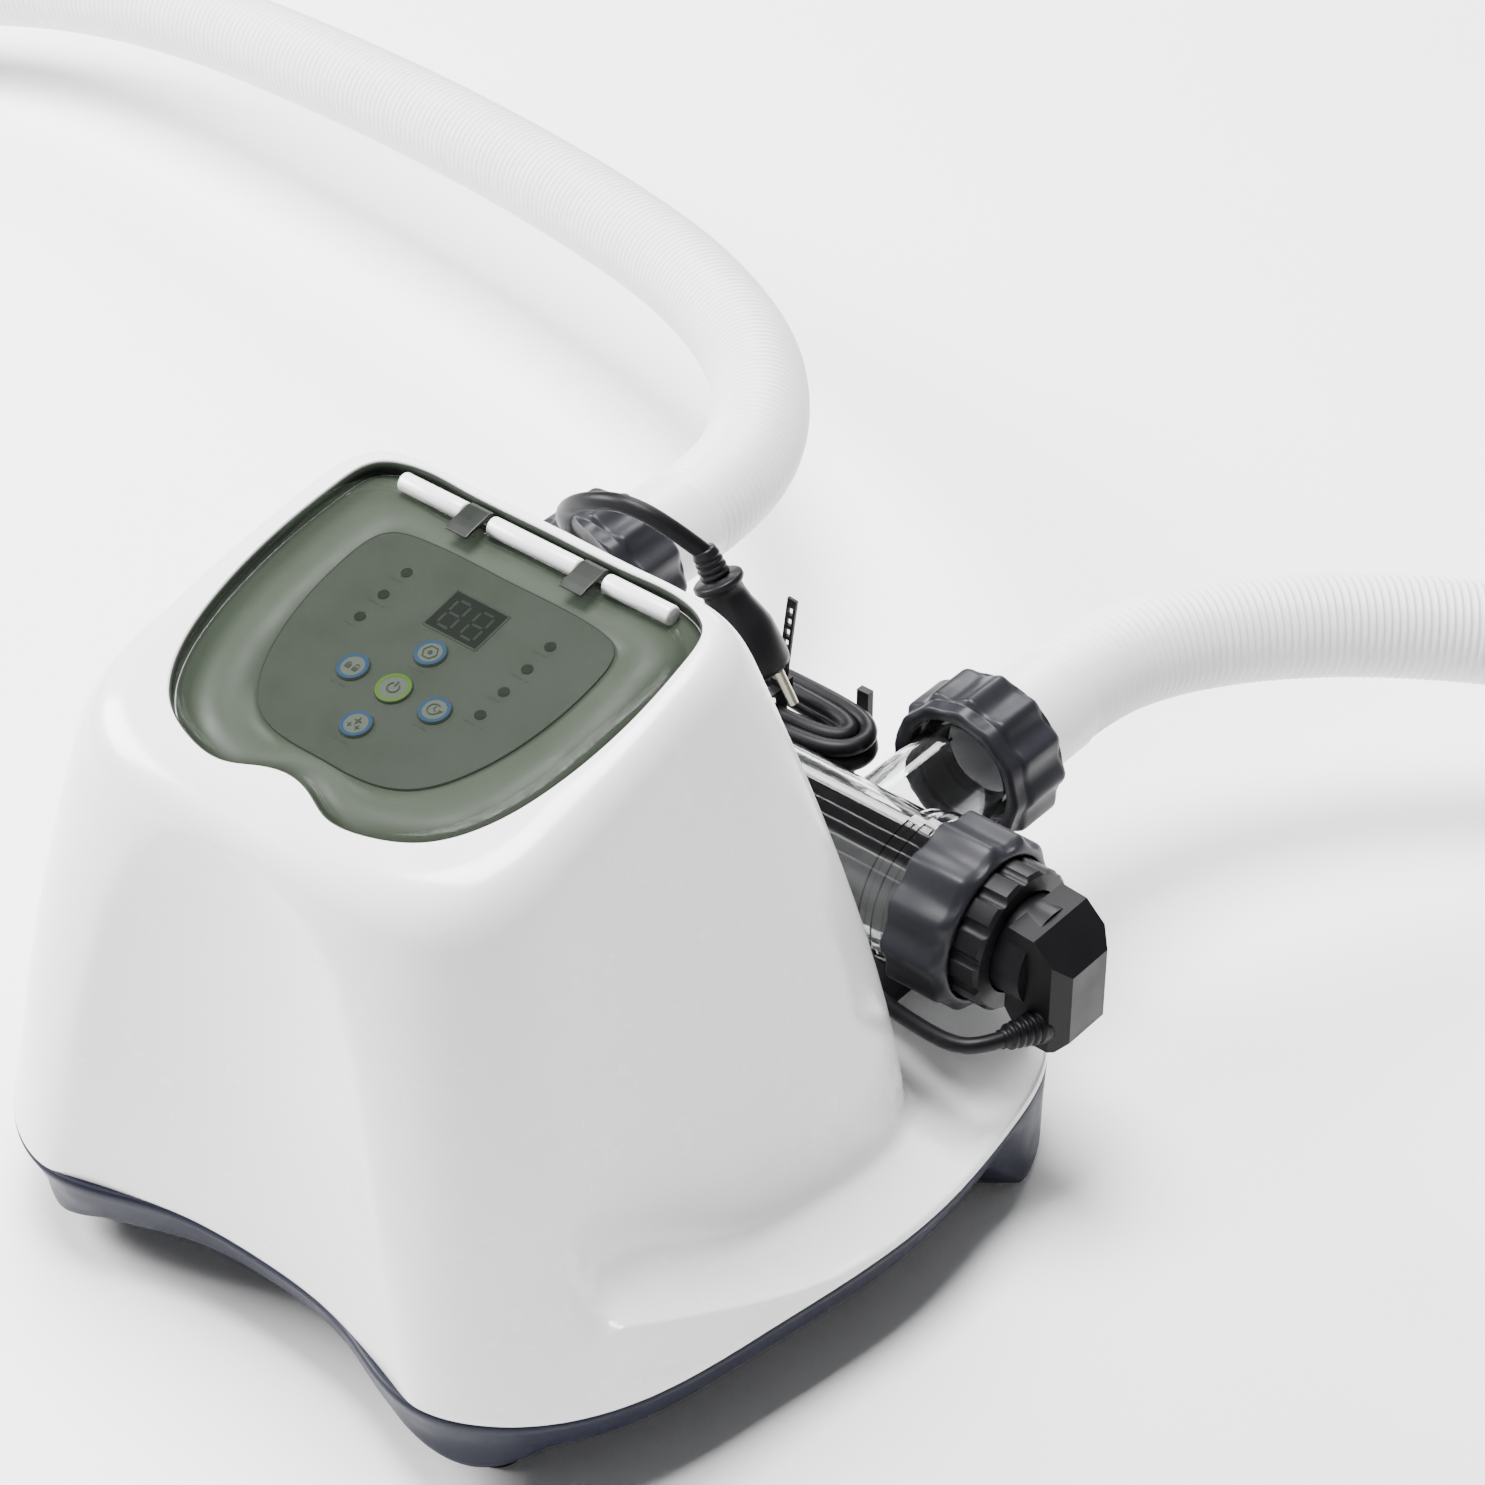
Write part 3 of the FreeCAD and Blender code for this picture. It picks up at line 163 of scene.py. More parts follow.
nut_grey = moulded("nut_grey", (0.013, 0.013, 0.017), 0.40, vary=0.10, grain=1100.0,
                   bump=0.16, gloss=0.2)
cap_black = moulded("cap_black", (0.005, 0.005, 0.006), 0.38, vary=0.15, grain=1200.0,
                    bump=0.16, gloss=0.15)
seal_rubber = moulded("seal_rubber", (0.012, 0.012, 0.012), 0.6, vary=0.15, gloss=0.12)
cord_black = moulded("cord_black", (0.004, 0.004, 0.005), 0.40, vary=0.15, grain=800.0,
                     bump=0.12, gloss=0.15)
cuff_white = moulded("cuff_white", (0.74, 0.74, 0.75), 0.34, vary=0.015, grain=900.0, bump=0.05)
hose_white = moulded("hose_white", (0.76, 0.76, 0.765), 0.40, vary=0.02, grain=900.0, bump=0.05)
pin_nickel = moulded("pin_nickel", (0.60, 0.56, 0.46), 0.22, vary=0.06, Metallic=1.0)
cell_clear = moulded("cell_clear", (0.90, 0.91, 0.92), 0.03, vary=0.02, grain=180.0, bump=0.10,
                     depth=0.0004, Transmission_Weight=1.0, IOR=1.46)
lid_smoke = moulded("lid_smoke", (0.030, 0.038, 0.028), 0.08, vary=0.03, grain=200.0, bump=0.02,
                    Alpha=0.13, IOR=1.30)

FINISH = (
    (pad_rubber, "foot_pads"), (screw_steel, "housing_screws lid_hinge_pin"),
    (panel_film, "panel_overlay boost_button lock_button power_button timer_button clean_button"),
    (lens_dark, "indicator_lenses"), (print_faint, "indicator_leds"),
    (display_dark, "display_window"), (shell_white, "board_posts"),
    (component_black, "display_module tact_switches terminal_block"),
    (board_green, "control_board supply_board"), (core_steel, "transformer_core"),
    (copper_winding, "transformer_windings"), (sink_aluminium, "heat_sink"),
    (cell_clear, "cell_body"), (plate_titanium, "electrode_plates"),
    (seal_rubber, "cell_seal port_seals"), (pin_nickel, "mains_plug_pins"),
    (cap_black, "coupling_ring electrode_cap cell_plug cell_cradle_left cell_cradle_right "
                "cell_cradle_middle flow_sensor mains_gland cell_lead_gland sensor_gland "
                "cable_tie"),
    (cuff_white, "hose_cuff_left hose_cuff_right hose_end_cuff_left hose_end_cuff_right"),
    (nut_grey, "hose_end_nut_left hose_end_nut_right"),
)
SOFT_EDGES = (
    (0.0012, "hose_end_nut_left hose_end_nut_right cell_plug"), (0.0008, "coupling_ring"),
    (0.0006, "electrode_cap cell_cradle_left cell_cradle_right cell_cradle_middle"),
    (0.0002, "cable_tie"),
)


def soften(obj, width, segments=3):
    """Round the hard edges of a piece a little, without touching its mesh."""
    bevel = obj.modifiers.new("edge", "BEVEL")
    bevel.width = width
    bevel.segments = segments
    bevel.limit_method = "ANGLE"
    bevel.angle_limit = math.radians(35.0)


def dressed(obj, material):
    """Give an object one material and no other."""
    obj.data.materials.clear()
    obj.data.materials.append(material)


for finish, names in FINISH:
    for node_name in names.split():
        dressed(nodes[node_name], finish)
for width, names in SOFT_EDGES:
    for node_name in names.split():
        soften(nodes[node_name], width)


# ---- mesh building
def piece(name, vertices, faces, material, body="housing", smooth=True):
    """A mesh piece in the shared frame, from millimetre vertices, riding on a body."""
    mesh = bpy.data.meshes.new(name)
    mesh.from_pydata([tuple(c * MM for c in vertex) for vertex in vertices], [], faces)
    mesh.validate()
    if smooth:
        mesh.polygons.foreach_set("use_smooth", [True] * len(mesh.polygons))
    obj = bpy.data.objects.new(name, mesh)
    collection.objects.link(obj)
    dressed(obj, material)
    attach(obj, body)
    return obj


def grid_faces(rows, columns, closed_rows=False):
    """Quads of a grid whose columns wrap round, and whose rows may too."""
    faces = []
    for i in range(rows if closed_rows else rows - 1):
        low, high = i * columns, (i + 1) % rows * columns
        for j in range(columns):
            k = (j + 1) % columns
            faces.append((low + j, low + k, high + k, high + j))
    return faces


def lathe(name, profile, place, material, body="housing", steps=64, shape=None):
    """A closed body of revolution about local Z from (radius, height) corners.
    shape(angle, radius) may change a radius, for lobes and grips."""
    vertices = []
    for radius, height in profile:
        for j in range(steps):
            angle = 2 * math.pi * j / steps
            size = shape(angle, radius) if shape else radius
            spot = place @ Vector((size * math.cos(angle), size * math.sin(angle), height))
            vertices.append(tuple(spot))
    hollow = profile[0][0] > 0.0
    faces = grid_faces(len(profile), steps, closed_rows=hollow)
    obj = piece(name, vertices, faces, material, body)
    if hollow:
        face_outwards(obj)
    else:
        tidy = bmesh.new()
        tidy.from_mesh(obj.data)
        bmesh.ops.remove_doubles(tidy, verts=tidy.verts, dist=1e-7)
        bmesh.ops.recalc_face_normals(tidy, faces=tidy.faces)
        tidy.to_mesh(obj.data)
        tidy.free()
    return obj


def face_outwards(obj):
    """Turn every face of a piece away from its middle, for open skins too."""
    tidy = bmesh.new()
    tidy.from_mesh(obj.data)
    bmesh.ops.recalc_face_normals(tidy, faces=tidy.faces)
    middle = sum((vertex.co for vertex in tidy.verts), Vector()) / len(tidy.verts)
    open_edges = any(len(edge.link_faces) < 2 for edge in tidy.edges)
    outward = sum(face.calc_area() * face.normal.dot(face.calc_center_median() - middle)
                  for face in tidy.faces)
    if open_edges and outward < 0:
        bmesh.ops.reverse_faces(tidy, faces=tidy.faces)
    tidy.to_mesh(obj.data)
    tidy.free()


def ring_skin(name, rows, material, closed=False):
    """A piece through closed rings of points."""
    faces = grid_faces(len(rows), COLUMNS, closed_rows=closed)
    obj = piece(name, np.concatenate(rows), faces, material)
    face_outwards(obj)
    return obj


def placed(origin, direction):
    """Millimetre placement whose Z axis points along a direction."""
    turn = Vector(direction).to_track_quat("Z", "Y").to_matrix().to_4x4()
    return Matrix.Translation(Vector(origin)) @ turn


# ---- outlines (millimetres)
# Right-hand halves of closed outlines, front to back.
RIM = [(0, -171), (50, -176), (97, -188), (128, -175), (155, -141), (172, -75), (182, 5),
       (176, 65), (158, 113), (118, 133), (0, 135)]
HOUSING_LOW = [(0, -184), (50, -186), (94, -188), (121, -178), (133, -155), (131, -121),
               (134, -72), (142, -23), (146, 20), (138, 47), (110, 58), (0, 59)]
HOUSING_HIGH = [(0, -157), (28, -156), (55, -150), (80, -138), (95, -116), (99, -90),
                (99, -60), (97, -30), (94, -6), (86, 4), (68, 7), (0, 8)]
LID = [(0, -52.5), (12, -55), (24, -60), (44, -58.5), (63, -49), (75, -33), (83, -8),
       (86.5, 30), (84.5, 62), (74, 74), (50, 75), (0, 75)]
RECESS = LID[:-3] + [(80, 77.5), (66, 84.1), (40, 84.4), (0, 84.4)]
GRAPHIC = [(0, -38.5), (18, -38.3), (36, -33), (51, -14), (59, 14), (60.5, 40), (56, 57),
           (40, 62), (0, 62.5)]
COLUMNS = 480                         # every closed ring has this many points
ANGLES = np.linspace(-math.pi, math.pi, COLUMNS, endpoint=False)
DIRECTIONS = np.stack([np.cos(ANGLES), np.sin(ANGLES)], 1)
DENSE = 2400                          # points used to read an outline's distances


def closed_loop(half):
    """A whole outline from its right-hand half."""
    return half + [(-x, y) for x, y in reversed(half[1:-1])]


def periodic_curve(points, count):
    """Points along the smooth closed curve through the given ones."""
    spots = np.array(points, float)
    total = len(spots)
    steps = np.linalg.norm(np.roll(spots, -1, 0) - spots, axis=1)
    system = np.zeros((total, total))
    right = np.zeros((total, 2))
    for i in range(total):
        before, after = steps[i - 1], steps[i]
        system[i, i - 1] += after
        system[i, i] += 2 * (before + after)
        system[i, (i + 1) % total] += before
        right[i] = 3 * (after * (spots[i] - spots[i - 1]) / before
                        + before * (spots[(i + 1) % total] - spots[i]) / after)
    slopes = np.linalg.solve(system, right)
    knots = np.concatenate([[0], np.cumsum(steps)])
    places = np.linspace(0, knots[-1], count, endpoint=False)
    spans = np.clip(np.searchsorted(knots, places, side="right") - 1, 0, total - 1)
    share = ((places - knots[spans]) / steps[spans])[:, None]
    width = steps[spans][:, None]
    start, end = spots[spans], spots[(spans + 1) % total]
    leave, arrive = slopes[spans] * width, slopes[(spans + 1) % total] * width
    return ((2 * share ** 3 - 3 * share ** 2 + 1) * start
            + (share ** 3 - 2 * share ** 2 + share) * leave
            + (-2 * share ** 3 + 3 * share ** 2) * end
            + (share ** 3 - share ** 2) * arrive)


def by_direction(plan, values):
    """Values known along an outline, read in each column's direction."""
    direction = np.arctan2(plan[:, 1], plan[:, 0])
    order = np.argsort(direction)
    return np.interp(ANGLES, direction[order], values[order], period=2 * math.pi)


def radii_about(points, centre):
    """The outline's distance from a centre, in each column's direction."""
    plan = periodic_curve(points, DENSE) - np.array(centre)
    return by_direction(plan, np.hypot(*plan.T))


def moved_in(points, distance):
    """The outline moved inwards along its own normals."""
    spots = np.array(points, float)
    along = np.roll(spots, -1, 0) - np.roll(spots, 1, 0)
    along /= np.linalg.norm(along, axis=1)[:, None]
    return spots + distance * np.stack([-along[:, 1], along[:, 0]], 1)


def smooth_step(value, low, high):
    """0 below low, 1 above high, and an even rise between."""
    share = np.clip((value - low) / (high - low), 0, 1)
    return share * share * (3 - 2 * share)


def soft_max(a, b, width):
    """The larger of two, rounded where they cross."""
    return 0.5 * (a + b + np.sqrt((a - b) ** 2 + width ** 2))


# ---- the panel's tilted frame
TILT = math.radians(12.7)
PANEL_Y, PANEL_Z = -79.5, 260.0
PANEL = Matrix.Translation(Vector((0, PANEL_Y, PANEL_Z))) @ Matrix.Rotation(TILT, 4, "X")
ROOF = 7.5                            # the roof's height above the panel
LID_CENTRE = np.array([0.0, 8.0])


def on_panel(u, v, rise):
    """World point of one panel point: across, up the slope, and above it."""
    return tuple(PANEL @ Vector((u, v, rise)))


def panel_points(uv, rise):
    """World points of panel points at one height above the panel."""
    out = np.zeros((len(uv), 3))
    out[:, 0] = uv[:, 0]
    out[:, 1] = PANEL_Y + uv[:, 1] * math.cos(TILT) - rise * math.sin(TILT)
    out[:, 2] = PANEL_Z + uv[:, 1] * math.sin(TILT) + rise * math.cos(TILT)
    return out


def roof_height(y):
    """Height of the tilted roof plane."""
    return PANEL_Z + ROOF / math.cos(TILT) + (y - PANEL_Y) * math.tan(TILT)


# ---- shell
MIDDLE = np.array([0.0, -71.7])
RIM_Z = 46.0
SECTION_LOW, SECTION_HIGH = 50.0, 290.0
# the hollow front facet: height, half width, y at its side edges, y at its middle
FACET = np.array([(40, 100, -190.5, -171.5), (90, 86, -186, -167.5), (128, 77, -181.5, -165),
                  (180, 64, -173.5, -162.5), (214, 50, -168, -161.5), (232, 33, -166, -162.2),
                  (242, 10, -165.5, -164.3)], float)
SHOULDER = 20.0                       # height of the rounding between wall and roof
# the deck's height along y: level at the back, climbing to the front corners
RAMP_Y = (-160, -145, -131, -107, -80, -62, -42, -22, 140)
RAMP_Z = (88.5, 86, 82.5, 74, 63, 56.5, 51.5, 50, 50)


def housing_radii(height):
    """The housing wall's distance from the middle at one height."""
    share = max(height - SECTION_LOW, 0.0) / (SECTION_HIGH - SECTION_LOW)
    lean = share ** 1.4
    low, high = np.array(closed_loop(HOUSING_LOW)), np.array(closed_loop(HOUSING_HIGH))
    return radii_about(low + (high - low) * lean, MIDDLE)


LEVELS = np.arange(46.0, 300.1, 4.0)
WALLS = np.array([housing_radii(level) for level in LEVELS])
RIM_RADII = radii_about(closed_loop(RIM), MIDDLE)


def wall_radius(heights):
    """Housing radius of every column at that column's own height."""
    place = (np.asarray(heights) - LEVELS[0]) / (LEVELS[1] - LEVELS[0])
    under = np.clip(place.astype(int), 0, len(LEVELS) - 2)
    share = place - under
    column = np.arange(COLUMNS)
    return WALLS[under, column] * (1 - share) + WALLS[under + 1, column] * share


def ring(radii, heights):
    """One closed ring about the middle, a point for each column."""
    plan = MIDDLE + DIRECTIONS * np.asarray(radii)[:, None]
    return np.column_stack([plan, np.broadcast_to(heights, (COLUMNS,))])


def fillet(start, corner, end, shares, weight=1.0):
    """Rows of a smooth fillet from start to end, pulled towards the corner."""
    rows = []
    for t in shares:
        a, b, c = (1 - t) ** 2, 2 * weight * t * (1 - t), t * t
        rows.append((a * start + b * corner + c * end) / (a + b + c))
    return rows


def facet_pushed(points):
    """Press the front wall back to the hollow facet, with soft edges."""
    x, y, z = points.T
    half, edge, deepest = (np.interp(z, FACET[:, 0], FACET[:, k]) for k in (1, 2, 3))
    sagitta = np.maximum(deepest - edge, 0.05)
    radius = (half ** 2 + sagitta ** 2) / (2 * sagitta)
    inside = np.clip(radius ** 2 - x ** 2, 1.0, None)
    facet = deepest - radius + np.sqrt(inside)
    facet = np.where(np.abs(x) < radius, facet, -400.0)
    facet -= 60.0 * smooth_step(z, 236.0, 262.0)
    front = smooth_step(-y, 120.0, 150.0)
    pushed = soft_max(y, facet, 1.6)
    out = points.copy()
    out[:, 1] = y * (1 - front) + pushed * front
    return out


def recess_ring(spread, rise):
    """The recess's outline, moved outwards, in the shell's own columns."""
    outline = moved_in(closed_loop(RECESS), -spread)
    spots = panel_points(periodic_curve(outline, DENSE), rise)
    plan = spots[:, :2] - MIDDLE
    return ring(by_direction(plan, np.hypot(*plan.T)), by_direction(plan, spots[:, 2]))


def roof_crossing():
    """Height at which each column of the wall meets the roof plane."""
    heights = np.full(COLUMNS, 270.0)
    for _ in range(30):
        y = MIDDLE[1] + DIRECTIONS[:, 1] * wall_radius(heights)
        heights = 0.5 * heights + 0.5 * roof_height(y)
    return heights


def deck_rows():
    """Rings from the rim over the deck to the wall, and the heights where they meet it."""
    deck_y = MIDDLE[1] + DIRECTIONS[:, 1] * RIM_RADII
    deck_z = np.interp(deck_y, RAMP_Y, RAMP_Z)
    foot = wall_radius(deck_z)
    gap = np.clip(RIM_RADII - 0.06 * (deck_z - RIM_Z) - foot, 0.0, None)
    gap = gap * smooth_step(gap, 0.0, 7.0)
    flare = np.minimum(8.0 + 10.0 * smooth_step(-deck_y, 10.0, 110.0), 0.80 * gap)
    edge, inner = foot + gap, foot + flare
    rounding = np.minimum(2.2, 0.25 * gap)

    rim_top = RIM_Z + 1.4
    rim = [ring(RIM_RADII - 1.2, RIM_Z), ring(RIM_RADII - 0.2, RIM_Z + 0.4),
           ring(RIM_RADII, rim_top)]
    rows = []
    for share in (0.25, 0.5, 0.75):
        height = rim_top + (deck_z - rounding - rim_top) * share
        rows.append(ring(RIM_RADII + (edge - RIM_RADII) * share, height))
    rows += fillet(ring(edge, deck_z - rounding), ring(edge, deck_z),
                   ring(edge - rounding, deck_z), (0, 0.25, 0.5, 0.75, 1), weight=1.4)
    for share in (0.12, 0.25, 0.4, 0.55, 0.7, 0.85):
        rows.append(ring(edge - rounding + (inner - edge + rounding) * share, deck_z))

    # the deck runs out before the front: there the wall goes plainly down to the rim
    fade = smooth_step(-deck_y, 136.0, 160.0)
    wall_start = deck_z + flare * 1.15 + 1.0 + 34.0 * fade
    rows += fillet(ring(inner, deck_z), ring(foot, deck_z),
                   ring(wall_radius(wall_start), wall_start), np.linspace(0, 1, 11))
    plain = [rim[-1] + (rows[-1] - rim[-1]) * (i + 1) / len(rows) for i in range(len(rows))]
    mix = fade[:, None]
    rows = [row * (1 - mix) + straight * mix for row, straight in zip(rows, plain)]
    return rim + rows, wall_start


def shell_rows():
    """Closed rings of the shell's outside, from the rim up to the opening under the lid."""
    rows, wall_start = deck_rows()
    crossing = roof_crossing()
    wall_end = crossing - SHOULDER
    for share in np.linspace(0, 1, 40)[1:]:
        height = wall_start + (wall_end - wall_start) * share
        rows.append(ring(wall_radius(height), height))
    edge_line = ring(wall_radius(crossing), crossing)
    lip = recess_ring(1.9, ROOF)
    room = np.hypot(*(edge_line - lip)[:, :2].T)
    inward = edge_line.copy()
    inward[:, :2] -= DIRECTIONS * np.clip(room - 1.0, 2.0, 19.0)[:, None]
    inward[:, 2] = roof_height(inward[:, 1])
    rows += fillet(rows[-1], edge_line, inward, np.linspace(0, 1, 15)[1:])

    rows = [facet_pushed(row) for row in rows]
    outer = rows[-1]
    rows += [outer * (1 - share) + lip * share for share in (0.35, 0.7, 1.0)]
    rows += [recess_ring(spread, rise) for spread, rise in ((1.25, ROOF - 0.2), (1.0, ROOF - 0.8),
                                                            (1.0, 0.8), (0.2, 0.0))]
    centre = np.array(on_panel(*LID_CENTRE, 0.0))
    floor_ring = rows[-1]
    rows += [centre + (floor_ring - centre) * share for share in (0.8, 0.6)]
    return rows


def build_shell():
    """The white housing, deck and panel surround as one skin with a wall's thickness."""
    obj = ring_skin("shell_skin", shell_rows(), shell_white)
    thick = obj.modifiers.new("wall", "SOLIDIFY")
    thick.thickness = 0.0022
    thick.offset = -1.0
    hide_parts("upper_shell")


build_shell()

# ---- base
# each leg's middle and how far it reaches along the rim
LEGS = ((103.0, -152.0, 34.0), (-103.0, -152.0, 34.0), (150.0, 96.0, 32.0), (-150.0, 96.0, 32.0))
ARCH_Z, LEG_Z, TRAY_Z = 27.0, 4.0, 26.0      # under the arches, the legs and the tray


def skirt_inset(height, lean):
    """How far the skirt stands inside the rim at a height: it leans in, then drops."""
    below = RIM_Z - height
    return 1.0 + lean * (0.42 * np.minimum(below, 20.0) + 0.12 * np.maximum(below - 20.0, 0.0))


def build_base():
    """Navy skirt whose lower edge arches between four legs, with a closed underside."""
    plan = MIDDLE + DIRECTIONS * RIM_RADII[:, None]
    drop = np.zeros(COLUMNS)
    for x, y, reach in LEGS:
        away = np.hypot(plan[:, 0] - x, plan[:, 1] - y)
        drop = np.maximum(drop, 1 - smooth_step(away, reach - 8.0, reach + 8.0))
    bottom = ARCH_Z - (ARCH_Z - LEG_Z) * drop
    lean = 1.0 - 0.9 * drop * smooth_step(plan[:, 1], 0.0, 40.0)
    top = RIM_Z - 0.6
    rows = [ring(RIM_RADII - 6.0, top), ring(RIM_RADII - 1.6, top),
            ring(RIM_RADII - 1.0, top - 0.8)]
    for share in (0.2, 0.4, 0.6, 0.8, 0.92):
        height = top - 0.8 + (bottom + 1.0 - top) * share
        rows.append(ring(RIM_RADII - skirt_inset(height, lean), height))
    low = RIM_RADII - skirt_inset(bottom, lean)
    rows += [ring(low, bottom + 0.6), ring(low - 1.0, bottom), ring(low - 10.0, bottom),
             ring(low - 24.0, np.minimum(bottom + 0.5, TRAY_Z)), ring(low - 32.0, TRAY_Z),
             ring(low * 0.5, TRAY_Z)]
    vertices = np.concatenate(rows + [[[*MIDDLE, TRAY_Z]]])
    faces = grid_faces(len(rows), COLUMNS)
    last = (len(rows) - 1) * COLUMNS
    centre = len(rows) * COLUMNS
    faces += [(last + j, last + (j + 1) % COLUMNS, centre) for j in range(COLUMNS)]
    obj = piece("base_skirt", vertices, faces, base_navy)
    face_outwards(obj)
    thick = obj.modifiers.new("wall", "SOLIDIFY")
    thick.thickness = 0.002
    thick.offset = 0.0
    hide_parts("base_tray")


build_base()

# ---- lid, hinge and panel print

def lid_ring(inward, rise):
    """A closed ring inside the lid's outline."""
    radii = radii_about(closed_loop(LID), LID_CENTRE) - inward
    return panel_points(LID_CENTRE + DIRECTIONS * radii[:, None], rise)


def build_lid():
    """Thin dished cover: rounded edge, flat top and a shallow rim below."""
    top, under = 6.9, 5.2
    over_rows = ((2.2, 1.6), (0.6, 1.5), (0.1, 2.2), (0.0, 4.2), (0.3, 5.8), (1.2, top),
                 (2.6, 7.3), (5.0, 7.3), (8.0, 7.0), (10.0, top), (30.0, top), (50.0, top))
    under_rows = ((50.0, under), (30.0, under), (10.0, under), (4.0, under), (2.4, 4.6),
                  (2.2, 3.4))
    rows = [lid_ring(*corner) for corner in over_rows]
    below = [lid_ring(*corner) for corner in under_rows]
    middles = [on_panel(*LID_CENTRE, top), on_panel(*LID_CENTRE, under)]
    vertices = np.concatenate(rows + below + [middles])
    faces = grid_faces(len(rows), COLUMNS)
    first_below = len(rows) * COLUMNS
    faces += [tuple(first_below + i for i in face) for face in grid_faces(len(below), COLUMNS)]
    top_last, top_mid = (len(rows) - 1) * COLUMNS, len(vertices) - 2
    low_last = first_below + (len(below) - 1) * COLUMNS
    for j in range(COLUMNS):
        k = (j + 1) % COLUMNS
        faces.append((top_last + j, top_last + k, top_mid))
        faces.append((first_below + j, first_below + k, top_mid + 1))
        faces.append((low_last + j, low_last + k, k, j))
    obj = piece("lid_cover", vertices, faces, lid_smoke, "lid")
    face_outwards(obj)
    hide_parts("panel_lid")


build_lid()

HINGE_V, HINGE_RISE = 79.0, 4.0
CLIP_SPOTS = (-28.0, 28.0)
RAIL_RADIUS = 3.9


def rail_piece(name, start, end):
    """A white rail on the hinge's axis, with rounded ends."""
    radius, length = RAIL_RADIUS, end - start
    profile = [(0.0, 0.0), (radius - 0.8, 0.0), (radius - 0.2, 0.2), (radius, 0.8),
               (radius, length - 0.8), (radius - 0.2, length - 0.2), (radius - 0.8, length),
               (0.0, length)]
    place = PANEL @ placed((start, HINGE_V, HINGE_RISE), (1, 0, 0))
    obj = lathe(name, profile, place, shell_white, "housing", 40)


rail_piece("hinge_rail_left", -66.0, -34.6)
rail_piece("hinge_rail_middle", -21.4, 21.4)
rail_piece("hinge_rail_right", 34.6, 66.0)


def clip_mesh(centre, number):
    """A saddle clip: a strap off the lid that curls over the hinge pin."""
    outline = [(66.5, 7.3), (66.5, 8.1), (70.0, 8.5), (74.0, 8.6)]
    for step in range(9):
        angle = math.radians(100 - 26 * step)
        outline.append((HINGE_V + 4.6 * math.cos(angle), HINGE_RISE + 4.6 * math.sin(angle)))
    for step in range(8, -1, -1):
        angle = math.radians(110 - 26 * step)
        outline.append((HINGE_V + 2.2 * math.cos(angle), HINGE_RISE + 2.2 * math.sin(angle)))
    outline += [(75.2, 6.9), (73.5, 7.2)]
    half = 5.4
    vertices = [on_panel(centre - half, v, r) for v, r in outline]
    vertices += [on_panel(centre + half, v, r) for v, r in outline]
    count = len(outline)
    faces = [tuple(range(count - 1, -1, -1)), tuple(range(count, 2 * count))]
    faces += [(i, (i + 1) % count, count + (i + 1) % count, count + i) for i in range(count)]
    obj = piece(f"lid_clip_{number}", vertices, faces, hinge_clip, "lid", smooth=False)
    face_outwards(obj)
    soften(obj, 0.0004, 2)
    return obj


clips = [clip_mesh(centre, number) for number, centre in enumerate(CLIP_SPOTS, start=1)]
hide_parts("lid_hinge_clips")


def flat_shape(name, loops, rise, thickness, material, body="housing"):
    """Thin printed shapes on the panel: each loop of (u, v) points becomes a raised plate."""
    vertices, faces = [], []
    for loop in loops:
        start, count = len(vertices), len(loop)
        vertices += [on_panel(u, v, rise) for u, v in loop]
        vertices += [on_panel(u, v, rise + thickness) for u, v in loop]
        faces.append(tuple(range(start + count - 1, start - 1, -1)))
        faces.append(tuple(range(start + count, start + 2 * count)))
        faces += [(start + i, start + (i + 1) % count, start + count + (i + 1) % count,
                   start + count + i) for i in range(count)]
    obj = piece(name, vertices, faces, material, body, smooth=False)
    face_outwards(obj)
    return obj


def band(name, centre, inner, outer, rise, thickness, material, body, start=0.0, sweep=360.0):
    """A flat printed ring or arc on the panel."""
    steps = 48
    full = sweep == 360.0
    count = steps if full else steps + 1
    corners = ((inner, rise), (outer, rise), (outer, rise + thickness), (inner, rise + thickness))
    vertices, faces = [], []
    for radius, height in corners:
        for j in range(count):
            angle = math.radians(start + sweep * j / steps)
            vertices.append(on_panel(centre[0] + radius * math.cos(angle),
                                     centre[1] + radius * math.sin(angle), height))
    for i in range(4):
        low, high = i * count, (i + 1) % 4 * count
        for j in range(count if full else count - 1):
            k = (j + 1) % count
            faces.append((low + j, low + k, high + k, high + j))
    if not full:
        faces += [(0, count, 2 * count, 3 * count),
                  (count - 1, 2 * count - 1, 3 * count - 1, 4 * count - 1)]
    obj = piece(name, vertices, faces, material, body, smooth=False)
    face_outwards(obj)
    return obj


def disc(centre, radius, steps=16):
    """Corners of a round plate."""
    return [(centre[0] + radius * math.cos(2 * math.pi * i / steps),
             centre[1] + radius * math.sin(2 * math.pi * i / steps)) for i in range(steps)]


def bar(start, end, width):
    """Corners of a straight bar between two points."""
    along = Vector((end[0] - start[0], end[1] - start[1])).normalized()
    side = Vector((-along.y, along.x)) * width / 2
    return [(start[0] - side.x, start[1] - side.y), (end[0] - side.x, end[1] - side.y),
            (end[0] + side.x, end[1] + side.y), (start[0] + side.x, start[1] + side.y)]


CAP_TOP = 2.2                         # top of the button caps, above the panel
INK = 0.12                            # thickness of a print
PITCH = 20.0                          # between neighbouring buttons
BUTTONS = {"boost_button": (0.0, PITCH), "lock_button": (-PITCH, 0.0), "power_button": (0.0, 0.0),
           "timer_button": (PITCH, 0.0), "clean_button": (0.0, -PITCH)}


def mark(name, loops, button):
    """Dark plates printed on a button."""
    flat_shape(name, loops, CAP_TOP, 2 * INK, print_dark, button)


